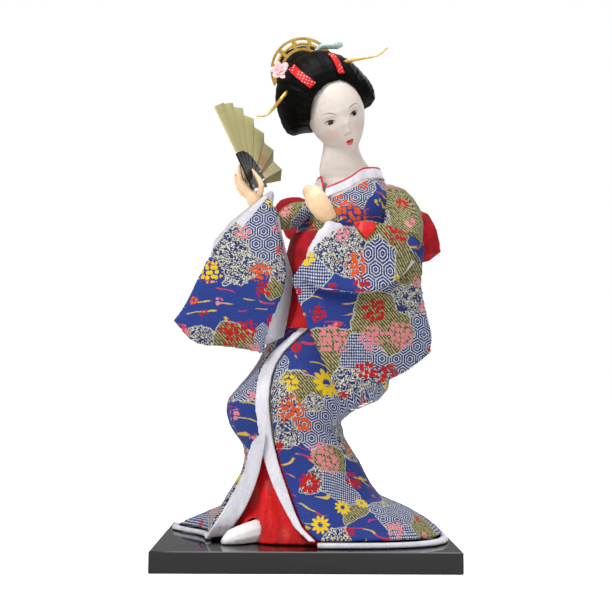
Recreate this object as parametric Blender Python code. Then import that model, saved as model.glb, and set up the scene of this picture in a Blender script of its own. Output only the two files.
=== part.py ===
"""Kimono dancer figurine on a lacquered board, every piece a closed solid, in metres with +Z up.

The origin is the middle of the board's underside and the figure faces -Y. Heights in the tables are
taken from the board's top face. The dressed form is a stack of rounded outlines about a leaning axis:
the cloth layers are laid on it as shells, each one clearance away from the next.
"""

import math

import bmesh
import bpy
from mathutils import Matrix, Vector

# The lacquered board
BOARD_WIDTH = 0.170
BOARD_DEPTH = 0.115
BOARD_THICKNESS = 0.012
BOARD_EDGE = 0.0005
CUT_OVER = 0.001

# Clearance between pieces that touch, and the thickness of each kind of cloth
GAP = 0.0003
BROCADE = 0.0018
SATIN = 0.0012
OBI_CLOTH = 0.0022

# Legs, their screws and the neck peg
POST_RADIUS = 0.003
FRONT_POST = (-0.018, -0.016)
REAR_POST = (0.010, 0.001)
POST_HEIGHT = 0.064
SCREW_RADIUS = 0.0014
SCREW_HEAD_RADIUS = 0.0032
SCREW_HEAD_DEPTH = 0.0024
SCREW_REACH = 0.012
PEG_RADIUS = 0.003
PEG_LENGTH = 0.018
PEG_RISE = 0.004

# Dressed form: height, axis x, axis y, left x, right x, front y, back y, squareness
FORM = (
    (0.000, 0.000, -0.004, -0.058, 0.083, -0.049, 0.040, 3.4),
    (0.004, 0.000, -0.004, -0.057, 0.081, -0.048, 0.039, 3.2),
    (0.008, -0.001, -0.004, -0.055, 0.077, -0.045, 0.037, 3.0),
    (0.012, -0.002, -0.004, -0.053, 0.071, -0.043, 0.034, 2.8),
    (0.017, -0.003, -0.004, -0.050, 0.063, -0.041, 0.031, 2.6),
    (0.021, -0.004, -0.005, -0.048, 0.053, -0.039, 0.028, 2.4),
    (0.025, -0.005, -0.005, -0.046, 0.0445, -0.037, 0.026, 2.3),
    (0.033, -0.006, -0.005, -0.0415, 0.0385, -0.034, 0.023, 2.2),
    (0.043, -0.007, -0.006, -0.0375, 0.0335, -0.032, 0.021, 2.2),
    (0.050, -0.008, -0.006, -0.038, 0.0295, -0.031, 0.020, 2.2),
    (0.058, -0.008, -0.006, -0.041, 0.023, -0.031, 0.019, 2.2),
    (0.066, -0.008, -0.006, -0.045, 0.022, -0.032, 0.018, 2.2),
    (0.072, -0.007, -0.006, -0.047, 0.024, -0.033, 0.019, 2.2),
    (0.078, -0.005, -0.005, -0.047, 0.037, -0.034, 0.024, 2.2),
    (0.084, -0.001, -0.004, -0.044, 0.047, -0.035, 0.029, 2.2),
    (0.092, 0.004, -0.003, -0.037, 0.050, -0.035, 0.033, 2.2),
    (0.102, 0.008, -0.002, -0.030, 0.050, -0.034, 0.034, 2.2),
    (0.112, 0.010, -0.002, -0.025, 0.047, -0.033, 0.033, 2.2),
    (0.123, 0.012, -0.002, -0.020, 0.043, -0.031, 0.030, 2.2),
    (0.138, 0.014, -0.002, -0.015, 0.042, -0.029, 0.026, 2.3),
    (0.158, 0.015, -0.002, -0.012, 0.043, -0.029, 0.025, 2.3),
    (0.178, 0.018, -0.001, -0.007, 0.045, -0.027, 0.023, 2.3),
    (0.188, 0.021, 0.000, -0.005, 0.048, -0.026, 0.022, 2.2),
    (0.196, 0.023, 0.001, -0.003, 0.050, -0.024, 0.022, 2.2),
    (0.203, 0.025, 0.002, 0.001, 0.051, -0.021, 0.021, 2.1),
    (0.210, 0.026, 0.003, 0.005, 0.050, -0.016, 0.020, 2.1),
    (0.216, 0.027, 0.004, 0.010, 0.047, -0.009, 0.018, 2.1),
)
# Inside of the skirt low down, where the hem spreads: height, left x, right x, front y, back y
SKIRT_INSIDE = (
    (0.000, -0.051, 0.050, -0.0460, 0.030),
    (0.008, -0.049, 0.048, -0.0425, 0.028),
    (0.017, -0.046, 0.044, -0.0385, 0.026),
    (0.025, -0.0435, 0.037, -0.0350, 0.0235),
    (0.033, -0.0395, 0.031, -0.0320, 0.0210),
)
# Red underskirt: height, left x, right x, front y, back y
UNDERSKIRT = (
    (0.0003, -0.043, 0.035, -0.0375, 0.024),
    (0.012, -0.039, 0.031, -0.034, 0.021),
    (0.024, -0.036, 0.027, -0.031, 0.018),
    (0.038, -0.033, 0.022, -0.029, 0.015),
    (0.0537, -0.0345, 0.0200, -0.0275, 0.0145),
)
# White front band of the outer panel: height, left x, right x, as seen from the front
FRONT_BAND = (
    (0.0040, 0.0015, 0.0055),
    (0.008, -0.0045, 0.0000),
    (0.016, -0.0100, -0.0050),
    (0.030, -0.0175, -0.0105),
    (0.047, -0.0240, -0.0165),
    (0.064, -0.0280, -0.0205),
    (0.081, -0.0300, -0.0222),
    (0.095, -0.0285, -0.0205),
    (0.110, -0.0190, -0.0125),
    (0.121, -0.0060, -0.0005),
    (0.136, 0.0060, 0.0105),
)
# Where the left panel ends, as an angle about the axis: height, degrees
PANEL_END = (
    (0.000, 194.0),
    (0.024, 190.0),
    (0.036, 191.0),
    (0.044, 196.0),
    (0.051, 206.0),
    (0.058, 220.0),
)
# White lining flap: height above the board, then its right edge as x and y
LINING_FLAP = (
    (0.0015, -0.0440, -0.0150),
    (0.007, -0.0420, -0.0170),
    (0.014, -0.0385, -0.0215),
    (0.023, -0.0335, -0.0265),
    (0.033, -0.0290, -0.0295),
    (0.043, -0.0262, -0.0305),
    (0.053, -0.0255, -0.0315),
)
PANEL_JOIN = 0.010
LINING_SAG = 0.0015
LINING_START = 0.085

# Left train: the hem's tongue that lies out on the board
TRAIN_ANGLE = 156.0
TRAIN_SPREAD = 15.0
TRAIN_REACH = ((0.000, 0.50), (0.004, 0.48), (0.009, 0.38), (0.013, 0.12), (0.018, 0.0))

HEM_HEIGHT = 0.0032
HEM_WIDTH = 0.0035

SKIRT_TOP = 0.136
BODICE_BOTTOM = 0.138
OBI_BOTTOM = 0.1220
OBI_TOP = 0.1795
CORD_HEIGHT = 0.1495
CORD_HALF_HEIGHT = 0.0017
CORD_OUTSET = 0.0016
CORE_BOTTOM = 0.0540
CORE_TOP = 0.196
CORE_INSET = 0.0050
EDGE_GAP = 0.0009
RING = 36

# Top edge of the bodice: angle about the axis in degrees, height. The V of the neckline is at the low point.
NECKLINE = (
    (0.0, 0.2135),
    (60.0, 0.2070),
    (120.0, 0.2040),
    (175.0, 0.2060),
    (205.0, 0.2070),
    (232.0, 0.1985),
    (262.0, 0.2030),
    (300.0, 0.2115),
    (360.0, 0.2135),
)
NECKLINE_V = 235.0
COLLAR_RISE = 0.0062
COLLAR_LEAN = 0.0026
PIPING_RISE = 0.0009

# Head: its centre, its turn to the right and its lean to the left, in degrees
HEAD_CENTRE = (0.0172, -0.003, 0.2660)
HEAD_TURN = 6.0
HEAD_LEAN = 21.5
HEAD_NOD = 10.5
HEAD_HALF_WIDTH = 0.0175
HEAD_HALF_DEPTH = 0.0203
HEAD_HALF_HEIGHT = 0.0268
# Neck and breast plate: height above the board, centre x, centre y, half width, half depth
NECK = (
    (0.1975, 0.0245, 0.0010, 0.0150, 0.0130),
    (0.2050, 0.0250, 0.0020, 0.0150, 0.0125),
    (0.2110, 0.0255, 0.0030, 0.0140, 0.0110),
    (0.2150, 0.0245, 0.0040, 0.0140, 0.0098),
    (0.2190, 0.0232, 0.0045, 0.0134, 0.0100),
    (0.2250, 0.0215, 0.0040, 0.0122, 0.0102),
    (0.2330, 0.0208, 0.0030, 0.0112, 0.0102),
    (0.2440, 0.0205, 0.0020, 0.0104, 0.0102),
)

# Fan: rivet, reach of ribs and leaf, spread in degrees either way from the axis
FAN_RIVET = (-0.0322, -0.0310, 0.2158)
FAN_AXIS = (-0.26, 0.0, 0.965)
FAN_SIDE = (0.386, 0.917, 0.104)
FAN_START = -23.0
FAN_END = 81.0
FAN_PLEATS = 14
FAN_RADIUS = 0.0500
FAN_LEAF_START = 0.0215
FAN_PLEAT_DEPTH = 0.0016
FAN_LEAF_THICKNESS = 0.0007
RIB_COUNT = 8
RIB_SHARE = 0.80
RIB_SPLIT = 0.0080
RIB_THICKNESS = 0.0010
FAN_HUB = 0.0024
FAN_ROOM = 1.03
RIVET_RADIUS = 0.0008
RIVET_HEAD = 0.0005

# Finishes: colour in linear light, roughness, and how metallic each is
COLOURS = {
    "lacquer": ((0.006, 0.006, 0.006), 0.12, 0.0),
    "steel": ((0.55, 0.55, 0.56), 0.35, 1.0),
    "wood": ((0.52, 0.36, 0.19), 0.7, 0.0),
    "padding": ((0.75, 0.70, 0.60), 0.9, 0.0),
    "brocade": ((0.035, 0.07, 0.30), 0.6, 0.0),
    "red_satin": ((0.72, 0.01, 0.02), 0.4, 0.0),
    "white_satin": ((0.75, 0.74, 0.78), 0.45, 0.0),
    "tabi": ((0.9, 0.9, 0.9), 0.7, 0.0),
    "face": ((0.80, 0.74, 0.68), 0.45, 0.0),
    "skin": ((0.86, 0.62, 0.43), 0.5, 0.0),
    "hair": ((0.008, 0.008, 0.009), 0.5, 0.0),
    "gilt": ((0.65, 0.42, 0.12), 0.35, 0.6),
    "pink": ((0.85, 0.45, 0.48), 0.5, 0.0),
    "jade": ((0.62, 0.75, 0.72), 0.3, 0.0),
    "gold_paper": ((0.38, 0.36, 0.16), 0.45, 0.4),
    "black_rib": ((0.01, 0.01, 0.012), 0.25, 0.0),
}

# Foot: distance from the toe as a share of its length, half width, height
FOOT = (
    (0.00, 0.0020, 0.0030),
    (0.06, 0.0050, 0.0062),
    (0.25, 0.0072, 0.0092),
    (0.50, 0.0068, 0.0120),
    (0.75, 0.0060, 0.0140),
    (0.94, 0.0050, 0.0140),
    (1.00, 0.0030, 0.0110),
)
FOOT_LENGTH = 0.040
FRONT_TURN = 212.0
REAR_TURN = 180.0
HEEL_BEHIND_POST = 0.006

# Sleeves: four sides of the hanging bag as points from corner to corner, half thickness at the bottom and at
# the top, and the stretches of each side that are open, as shares of its length
RIGHT_SLEEVE = {
    "left": (
        (-0.0780, -0.023, 0.1385),
        (-0.0712, -0.024, 0.1475),
        (-0.0518, -0.026, 0.1845),
        (-0.0242, -0.027, 0.2120),
    ),
    "bottom": (
        (-0.0780, -0.023, 0.1385),
        (-0.0645, -0.023, 0.1250),
        (-0.0460, -0.024, 0.1228),
        (-0.0195, -0.027, 0.1182),
    ),
    "right": (
        (-0.0195, -0.027, 0.1182),
        (-0.0140, -0.030, 0.1430),
        (-0.0115, -0.031, 0.1670),
        (-0.0175, -0.028, 0.2030),
    ),
    "top": (
        (-0.0242, -0.027, 0.2120),
        (-0.0222, -0.027, 0.2105),
        (-0.0200, -0.028, 0.2070),
        (-0.0175, -0.028, 0.2030),
    ),
    "half": (0.0045, 0.0052),
    "open": {"left": (0.55, 1.3), "right": (-0.3, 0.8), "top": (-0.3, 0.7), "bottom": None},
    "lining": (0.045, 0.955, 0.045, 0.955),
    "peek": (0.13, 0.09, 0.09),
    "crease": 0.0008,
}
LEFT_SLEEVE = {
    "left": (
        (0.0200, -0.0410, 0.0925),
        (0.0130, -0.0430, 0.1044),
        (0.0000, -0.0450, 0.1340),
        (-0.0095, -0.0450, 0.1600),
    ),
    "bottom": (
        (0.0200, -0.0410, 0.0925),
        (0.0370, -0.0400, 0.1005),
        (0.0560, -0.0330, 0.1085),
        (0.0725, -0.0220, 0.1205),
    ),
    "right": (
        (0.0725, -0.0220, 0.1205),
        (0.0728, -0.0200, 0.1310),
        (0.0680, -0.0170, 0.1570),
        (0.0710, -0.0140, 0.1800),
    ),
    "top": (
        (-0.0095, -0.0450, 0.1600),
        (0.0120, -0.0460, 0.1930),
        (0.0400, -0.0400, 0.1900),
        (0.0710, -0.0140, 0.1800),
    ),
    "half": (0.0042, 0.0066),
    "open": {"left": None, "right": (-0.3, 0.75), "top": (0.02, 0.48), "bottom": None},
    "lining": (0.045, 0.955, 0.045, 0.94),
    "peek": (0.0, 0.11, 0.065),
    "crease": 0.0016,
}
RIM_POWER = 5
OPEN_RIM = 0.45
SLEEVE_WALL = 0.0013

# Upper sleeves: path from the shoulder to the elbow, radii, and how flat they are
LEFT_ARM = (
    (0.0390, 0.0060, 0.2165),
    (0.0515, 0.0020, 0.2120),
    (0.0580, -0.0050, 0.2010),
    (0.0590, -0.0215, 0.1840),
)
LEFT_ARM_RADII = (0.0085, 0.0120, 0.0122, 0.0085)
RIGHT_ARM = (
    (0.0010, -0.0200, 0.2045),
    (-0.0060, -0.0205, 0.2020),
    (-0.0115, -0.0215, 0.1985),
    (-0.0160, -0.0240, 0.1960),
)
RIGHT_ARM_RADII = (0.0045, 0.0072, 0.0070, 0.0050)

# Obi bow behind the waist: each loop's outline as four sides, with its half thickness
BOW_LEFT = {
    "left": (
        (-0.0130, 0.040, 0.1960),
        (-0.0165, 0.042, 0.2040),
        (-0.0195, 0.043, 0.2120),
        (-0.0210, 0.042, 0.2190),
    ),
    "bottom": (
        (-0.0130, 0.040, 0.1960),
        (-0.0040, 0.038, 0.1900),
        (0.0040, 0.036, 0.1840),
        (0.0140, 0.035, 0.1780),
    ),
    "right": (
        (0.0140, 0.035, 0.1780),
        (0.0150, 0.036, 0.1860),
        (0.0160, 0.036, 0.1950),
        (0.0170, 0.035, 0.2030),
    ),
    "top": (
        (-0.0210, 0.042, 0.2190),
        (-0.0100, 0.042, 0.2230),
        (0.0020, 0.040, 0.2200),
        (0.0170, 0.035, 0.2030),
    ),
    "half": (0.0055, 0.0055),
    "open": {"left": None, "right": None, "top": None, "bottom": None},
    "crease": 0.0010,
}
BOW_RIGHT = {
    "left": (
        (0.0260, 0.035, 0.1760),
        (0.0270, 0.036, 0.1860),
        (0.0280, 0.036, 0.1950),
        (0.0290, 0.035, 0.2040),
    ),
    "bottom": (
        (0.0260, 0.035, 0.1760),
        (0.0440, 0.038, 0.1735),
        (0.0660, 0.040, 0.1780),
        (0.0880, 0.040, 0.1835),
    ),
    "right": (
        (0.0880, 0.040, 0.1835),
        (0.0865, 0.041, 0.1940),
        (0.0840, 0.041, 0.2040),
        (0.0795, 0.041, 0.2125),
    ),
    "top": (
        (0.0290, 0.035, 0.2040),
        (0.0440, 0.040, 0.2150),
        (0.0620, 0.041, 0.2190),
        (0.0795, 0.041, 0.2125),
    ),
    "half": (0.0065, 0.0065),
    "open": {"left": None, "right": None, "top": None, "bottom": None},
    "crease": 0.0012,
}
KNOT_BOX = (0.0215, 0.0335, 0.1900)
KNOT_REACH = (0.0045, 0.0090, 0.0160)

# Tails of the bow: path from the knot down, half width
BOW_TAILS = (
    ("left", ((0.0175, 0.0345, 0.1750), (0.0120, 0.0370, 0.1550), (0.0060, 0.0390, 0.1300)), 0.0070),
    ("right", ((0.0258, 0.0320, 0.1740), (0.0340, 0.0370, 0.1500), (0.0400, 0.0390, 0.1250)), 0.0075),
)
TAIL_FLATNESS = 0.14

# Hands: palm as rings along a path with half widths and thickness, and fingers as tapered tubes
FAN_PALM = ((-0.0290, -0.0255, 0.2035), (-0.0300, -0.0255, 0.2080), (-0.0312, -0.0250, 0.2130))
FAN_PALM_RADII = (0.0036, 0.0052, 0.0050)
FAN_FINGERS = (
    (((-0.0312, -0.0250, 0.2110), (-0.0385, -0.0258, 0.2200), (-0.0398, -0.0295, 0.2290)), 0.0016),
    (((-0.0306, -0.0250, 0.2110), (-0.0368, -0.0225, 0.2210), (-0.0380, -0.0240, 0.2300)), 0.0016),
    (((-0.0310, -0.0250, 0.2095), (-0.0400, -0.0235, 0.2170), (-0.0425, -0.0250, 0.2245)), 0.0015),
    (((-0.0306, -0.0252, 0.2080), (-0.0390, -0.0220, 0.2140), (-0.0415, -0.0235, 0.2205)), 0.0014),
    (((-0.0300, -0.0255, 0.2090), (-0.0268, -0.0295, 0.2165), (-0.0328, -0.0272, 0.2265)), 0.0018),
)
CHEST_PALM = (
    (0.0130, -0.0430, 0.1945),
    (0.0085, -0.0445, 0.2000),
    (0.0045, -0.0435, 0.2060),
    (0.0015, -0.0400, 0.2105),
    (0.0000, -0.0350, 0.2100),
)
CHEST_PALM_RADII = (0.0042, 0.0062, 0.0066, 0.0055, 0.0040)
PALM_FLATNESS = 0.62
WRIST_ROOM = 0.0008

# Hair in the head's own frame: centre, half width, half depth and half height of the cap
HAIR_CENTRE = (-0.0034, 0.0096, 0.0146)
HAIR_HALF = (0.0280, 0.0265, 0.0263)

# How far each wing of the hair stands out and hangs down, and the share of the height at which it starts
WING_SPREAD = {"right": -0.0007, "left": 0.0072}
WING_DROP = {"right": 0.0079, "left": 0.0046}
WING_START = 0.24

# Lift of the nape and of the front of the hair's lower edge, as shares of the half height
HAIR_LIFT = 0.23
FRONT_LIFT = 0.25

# Opening of the hair round the face in the head's frame: across and up, from the right jaw to the left
FACE_EDGE = (
    (-0.0260, -0.0450),
    (-0.0240, -0.0130),
    (-0.0192, -0.0070),
    (-0.0173, -0.0016),
    (-0.0171, 0.0028),
    (-0.0162, 0.0064),
    (-0.0139, 0.0112),
    (-0.0095, 0.0151),
    (-0.0043, 0.0172),
    (0.0007, 0.0175),
    (0.0054, 0.0165),
    (0.0098, 0.0140),
    (0.0125, 0.0090),
    (0.0143, 0.0045),
    (0.0158, -0.0005),
    (0.0176, -0.0045),
    (0.0240, -0.0100),
    (0.0260, -0.0450),
)
FACE_FRONT = -0.0500
FACE_BACK = -0.0030

HEAD_ROOM = 0.0006
NECK_ROOM = 0.0009
KNOT_CENTRE = (-0.0030, 0.0360, 0.0330)
KNOT_HALF = (0.0185, 0.0095, 0.0170)

# Comb in the head's frame: centre of its arc, radii of its rails, and the angles it spans
COMB_CENTRE = (-0.0075, 0.0120, 0.0317)
COMB_RAILS = (0.0125, 0.0142, 0.0155, 0.0190, 0.0205)
COMB_SPAN = (-4.0, 184.0)
COMB_BARS = 6
COMB_BAR_SHARE = 0.25
COMB_THICKNESS = 0.0014
COMB_TILT = 0.0

# Ribbons on the hair: the azimuth and elevation of three places along each, and half the width, in degrees
RIBBONS = (
    ("left", ((-16.0, 10.0), (-27.0, 27.0), (-44.0, 48.0)), 4.8),
    ("right", ((24.0, 13.0), (28.0, 30.0), (36.0, 48.0)), 4.0),
)
RIBBON_THICKNESS = 0.0006

# Pins in the head's frame: the path from the tip to the place in the hair where each stands, and its radii
PINS = (
    (
        "left",
        (
            (-0.0465, -0.0004, 0.0143),
            (-0.0411, -0.0004, 0.0130),
            (-0.0350, -0.0014, 0.0157),
            (-0.0266, -0.0044, 0.0208),
            (-0.0205, 0.0026, 0.0235),
        ),
        (0.0005, 0.0005, 0.0010, 0.0011, 0.0010),
    ),
    (
        "right",
        (
            (0.0426, -0.0057, 0.0271),
            (0.0354, -0.0057, 0.0245),
            (0.0262, -0.0062, 0.0255),
            (0.0175, -0.0068, 0.0269),
            (0.0115, -0.0007, 0.0278),
        ),
        (0.0005, 0.0005, 0.0007, 0.0011, 0.0010),
    ),
)
PIN_GRIP = 0.0006

FLOWER_PLACE = (-0.0228, 0.0030, 0.0355)
FLOWER_RADIUS = 0.0070
FLOWER_HEIGHT = 0.0024
FLOWER_TURN = 4.0
FLOWER_TILT = 62.0
ORNAMENT_PATH = (
    (0.0031, 0.0084, 0.0400),
    (0.0071, 0.0082, 0.0418),
    (0.0124, 0.0080, 0.0404),
    (0.0166, 0.0075, 0.0394),
    (0.0200, 0.0075, 0.0387),
)
ORNAMENT_RADII = (0.0014, 0.0017, 0.0018, 0.0024, 0.0012)


def material(name):
    """The material of that name, made once."""
    found = bpy.data.materials.get(name)
    if found:
        return found
    colour, roughness, metallic = COLOURS[name]
    made = bpy.data.materials.new(name)
    made.use_nodes = True
    shader = made.node_tree.nodes["Principled BSDF"]
    shader.inputs["Base Color"].default_value = (*colour, 1.0)
    shader.inputs["Roughness"].default_value = roughness
    shader.inputs["Metallic"].default_value = metallic
    return made


def add_object(name, bm, finish):
    """A smooth-shaded object from a bmesh, with its faces turned outwards."""
    bmesh.ops.recalc_face_normals(bm, faces=bm.faces)
    mesh = bpy.data.meshes.new(name)
    bm.to_mesh(mesh)
    bm.free()
    mesh.shade_smooth()
    mesh.set_sharp_from_angle(angle=math.radians(50))
    made = bpy.data.objects.new(name, mesh)
    made.data.materials.append(material(finish))
    bpy.context.scene.collection.objects.link(made)
    return made


def as_cutter(cutter):
    """Hides a helper that only cuts."""
    cutter.hide_render = True
    cutter.display_type = "WIRE"
    return cutter


def cut(target, cutter):
    """Cuts the helper's shape out of the target."""
    modifier = target.modifiers.new("Cut", "BOOLEAN")
    modifier.operation = "DIFFERENCE"
    modifier.object = as_cutter(cutter)


def join(target, other):
    """Adds the helper's shape to the target."""
    modifier = target.modifiers.new("Join", "BOOLEAN")
    modifier.operation = "UNION"
    modifier.object = as_cutter(other)


def smooth_row(rows, at):
    """The row of a table at a place between its rows, on curves that never overshoot."""
    if at <= rows[0][0]:
        return list(rows[0][1:])
    if at >= rows[-1][0]:
        return list(rows[-1][1:])
    i = max(k for k in range(len(rows) - 1) if rows[k][0] <= at)
    step = rows[i + 1][0] - rows[i][0]
    t = (at - rows[i][0]) / step

    def slope(k, column):
        if k <= 0 or k >= len(rows) - 1:
            return 0.0
        before = (rows[k][column] - rows[k - 1][column]) / (rows[k][0] - rows[k - 1][0])
        after = (rows[k + 1][column] - rows[k][column]) / (rows[k + 1][0] - rows[k][0])
        return 0.0 if before * after <= 0 else 2 * before * after / (before + after)

    found = []
    for column in range(1, len(rows[0])):
        a, b = rows[i][column], rows[i + 1][column]
        da, db = slope(i, column) * step, slope(i + 1, column) * step
        found.append(
            a * (1 + 2 * t) * (1 - t) ** 2
            + da * t * (1 - t) ** 2
            + b * t * t * (3 - 2 * t)
            - db * t * t * (1 - t)
        )
    return found


def ray(angle, left, right, front, back, axis, power):
    """Distance from the axis to a rounded outline in one direction."""
    c, s = math.cos(angle), math.sin(angle)
    across = right - axis[0] if c > 0 else axis[0] - left
    along = back - axis[1] if s > 0 else axis[1] - front
    return (abs(c / across) ** power + abs(s / along) ** power) ** (-1 / power)


def form_radius(angle, height):
    """Distance from the axis to the dressed form, with the tongue of the left train."""
    x, y, left, right, front, back, power = smooth_row(FORM, height)
    radius = ray(angle, left, right, front, back, (x, y), power)
    away = (math.degrees(angle) - TRAIN_ANGLE + 180) % 360 - 180
    reach = smooth_row(TRAIN_REACH, height)[0]
    return radius * (1 + reach * math.exp(-((away / TRAIN_SPREAD) ** 2)))


def on_axis(angle, height, radius):
    """The point at an angle, height and distance from the leaning axis."""
    x, y = smooth_row(FORM, height)[:2]
    return Vector((x + radius * math.cos(angle), y + radius * math.sin(angle), BOARD_THICKNESS + height))


def on_form(angle, height, outset=0.0):
    """A point on the dressed form, moved out by outset."""
    return on_axis(angle, height, form_radius(angle, height) + outset)


def table_radius(table, angle, height):
    """Distance from the axis to an outline table of left, right, front and back."""
    x, y = smooth_row(FORM, height)[:2]
    left, right, front, back = smooth_row(table, height)
    return ray(angle, left, right, front, back, (x, y), 2.2)


def front_angle(x, height):
    """The angle at which the form's front has that x."""
    low, high = math.radians(200), math.radians(340)
    for _ in range(30):
        middle = (low + high) / 2
        if on_form(middle, height).x < x:
            low = middle
        else:
            high = middle
    return (low + high) / 2


def shell(name, outside, inside, finish, ring=False):
    """A closed wall between two grids of points, rows from bottom to top. A ring closes on itself."""
    bm = bmesh.new()
    layers = []
    for grid in (outside, inside):
        layers.append([[bm.verts.new(point) for point in row] for row in grid])
    rows, columns = len(outside), len(outside[0])
    spans = columns if ring else columns - 1
    for layer in layers:
        for r in range(rows - 1):
            for c in range(spans):
                n = (c + 1) % columns
                bm.faces.new((layer[r][c], layer[r][n], layer[r + 1][n], layer[r + 1][c]))
    out, inn = layers
    for r in (0, rows - 1):
        for c in range(spans):
            n = (c + 1) % columns
            bm.faces.new((out[r][c], out[r][n], inn[r][n], inn[r][c]))
    if not ring:
        for c in (0, columns - 1):
            for r in range(rows - 1):
                bm.faces.new((out[r][c], out[r + 1][c], inn[r + 1][c], inn[r][c]))
    return add_object(name, bm, finish)


def loft(name, rings, finish):
    """A closed solid through rings of points, capped at both ends."""
    bm = bmesh.new()
    layers = [[bm.verts.new(point) for point in ring] for ring in rings]
    count = len(rings[0])
    for below, above in zip(layers, layers[1:]):
        for i in range(count):
            n = (i + 1) % count
            bm.faces.new((below[i], below[n], above[n], above[i]))
    bm.faces.new(layers[0])
    bm.faces.new(layers[-1])
    return add_object(name, bm, finish)


def oval(centre, across, along, count, power=2.0):
    """A ring of points about a centre, on two half axes given as vectors."""
    ring = []
    for i in range(count):
        angle = math.tau * i / count
        c, s = math.cos(angle), math.sin(angle)
        k = (abs(c) ** power + abs(s) ** power) ** (-1 / power)
        ring.append(Vector(centre) + Vector(across) * (k * c) + Vector(along) * (k * s))
    return ring


def path_point(points, t):
    """A point on a smooth curve through a list of points, t from 0 to 1."""
    spans = len(points) - 1
    i = min(int(t * spans), spans - 1)
    u = t * spans - i
    p1, p2 = Vector(points[i]), Vector(points[i + 1])
    p0 = Vector(points[i - 1]) if i > 0 else 2 * p1 - p2
    p3 = Vector(points[i + 2]) if i + 2 <= spans else 2 * p2 - p1
    return (
        p1 * 2 + (p2 - p0) * u + (2 * p0 - 5 * p1 + 4 * p2 - p3) * u**2 + (3 * p1 - p0 - 3 * p2 + p3) * u**3
    ) / 2


def tube(name, points, radii, finish, steps=8, sides=10, flat=1.0, facing=(0, 1, 0)):
    """A round or flattened tube along a smooth curve, its radius following the radii listed."""
    rings = []
    for k in range(steps + 1):
        t = k / steps
        here = path_point(points, t)
        ahead = path_point(points, min(1, t + 0.01)) - path_point(points, max(0, t - 0.01))
        side = ahead.cross(Vector(facing)).normalized()
        depth = side.cross(ahead).normalized()
        place = t * (len(radii) - 1)
        i = min(int(place), len(radii) - 2)
        radius = radii[i] + (radii[i + 1] - radii[i]) * (place - i)
        rings.append(oval(here, side * radius, depth * radius * flat, sides))
    return loft(name, rings, finish)


def rod(name, start, end, radius, finish, sides=16):
    """A straight round bar."""
    start, end = Vector(start), Vector(end)
    ahead = (end - start).normalized()
    helper = Vector((0, 1, 0)) if abs(ahead.y) < 0.9 else Vector((1, 0, 0))
    side = ahead.cross(helper).normalized() * radius
    depth = ahead.cross(side).normalized() * radius
    return loft(name, [oval(start, side, depth, sides), oval(end, side, depth, sides)], finish)


def make_board():
    """The lacquered board, with a countersunk hole under each leg."""
    bm = bmesh.new()
    bmesh.ops.create_cube(bm, size=1)
    bmesh.ops.scale(bm, vec=(BOARD_WIDTH, BOARD_DEPTH, BOARD_THICKNESS), verts=bm.verts)
    bmesh.ops.translate(bm, vec=(0, 0, BOARD_THICKNESS / 2), verts=bm.verts)
    board = add_object("lacquer_board", bm, "lacquer")
    edge = board.modifiers.new("Edge", "BEVEL")
    edge.width = BOARD_EDGE
    edge.segments = 1
    for label, (x, y) in (("front", FRONT_POST), ("rear", REAR_POST)):
        hole = rod(
            f"{label}_screw_hole",
            (x, y, -CUT_OVER),
            (x, y, BOARD_THICKNESS + CUT_OVER),
            SCREW_RADIUS + GAP,
            "lacquer",
        )
        cut(board, hole)
        seat = rod(
            f"{label}_head_seat",
            (x, y, -0.001),
            (x, y, SCREW_HEAD_DEPTH + 2 * GAP),
            SCREW_HEAD_RADIUS + GAP,
            "lacquer",
        )
        cut(board, seat)


def make_legs():
    """Two wooden leg posts, each screwed down from under the board."""
    for label, (x, y) in (("front", FRONT_POST), ("rear", REAR_POST)):
        foot = BOARD_THICKNESS + GAP
        top = BOARD_THICKNESS + POST_HEIGHT
        post = rod(f"{label}_leg_post", (x, y, foot), (x, y, top), POST_RADIUS, "wood")
        pilot = rod(
            f"{label}_pilot",
            (x, y, 0),
            (x, y, BOARD_THICKNESS + SCREW_REACH + GAP),
            SCREW_RADIUS + GAP,
            "wood",
        )
        cut(post, pilot)
        rings = []
        for z, radius in (
            (GAP, SCREW_HEAD_RADIUS),
            (SCREW_HEAD_DEPTH, SCREW_HEAD_RADIUS),
            (SCREW_HEAD_DEPTH, SCREW_RADIUS),
            (BOARD_THICKNESS + SCREW_REACH, SCREW_RADIUS),
        ):
            rings.append(oval((x, y, z), (radius, 0, 0), (0, radius, 0), 16))
        loft(f"{label}_screw", rings, "steel")


def foot_rings(post, turn, grow=0.0, steps=8, sides=12):
    """Rings of a split-toe sock from toe to heel, its sole flat on the board."""
    ahead = Vector((math.cos(math.radians(turn)), math.sin(math.radians(turn)), 0))
    side = Vector((-ahead.y, ahead.x, 0))
    heel = Vector((post[0], post[1], BOARD_THICKNESS)) - ahead * HEEL_BEHIND_POST
    rings = []
    for k in range(steps + 1):
        share = k / steps
        half, high = smooth_row(FOOT, share)
        middle = heel + ahead * (FOOT_LENGTH * (1 - share) + grow * (1 - 2 * share))
        ring = []
        for i in range(sides):
            angle = math.tau * i / sides
            c, s = math.cos(angle), math.sin(angle)
            rise = max(0.0, 0.35 + 0.65 * s) * (high + 2 * grow) + GAP - grow
            ring.append(middle + side * ((half + grow) * c) + Vector((0, 0, rise)))
        rings.append(ring)
    return rings


def make_feet():
    """Two white split-toe socks, each slipped over its leg post."""
    for label, post, turn in (("front", FRONT_POST, FRONT_TURN), ("rear", REAR_POST, REAR_TURN)):
        foot = loft(f"{label}_tabi_foot", foot_rings(post, turn), "tabi")
        socket = rod(f"{label}_ankle_hole", (*post, 0), (*post, 0.060), POST_RADIUS + GAP, "tabi", 12)
        cut(foot, socket)


def arc(start, end, count):
    """Evenly spaced values from start to end."""
    return [start + (end - start) * i / (count - 1) for i in range(count)]


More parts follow.
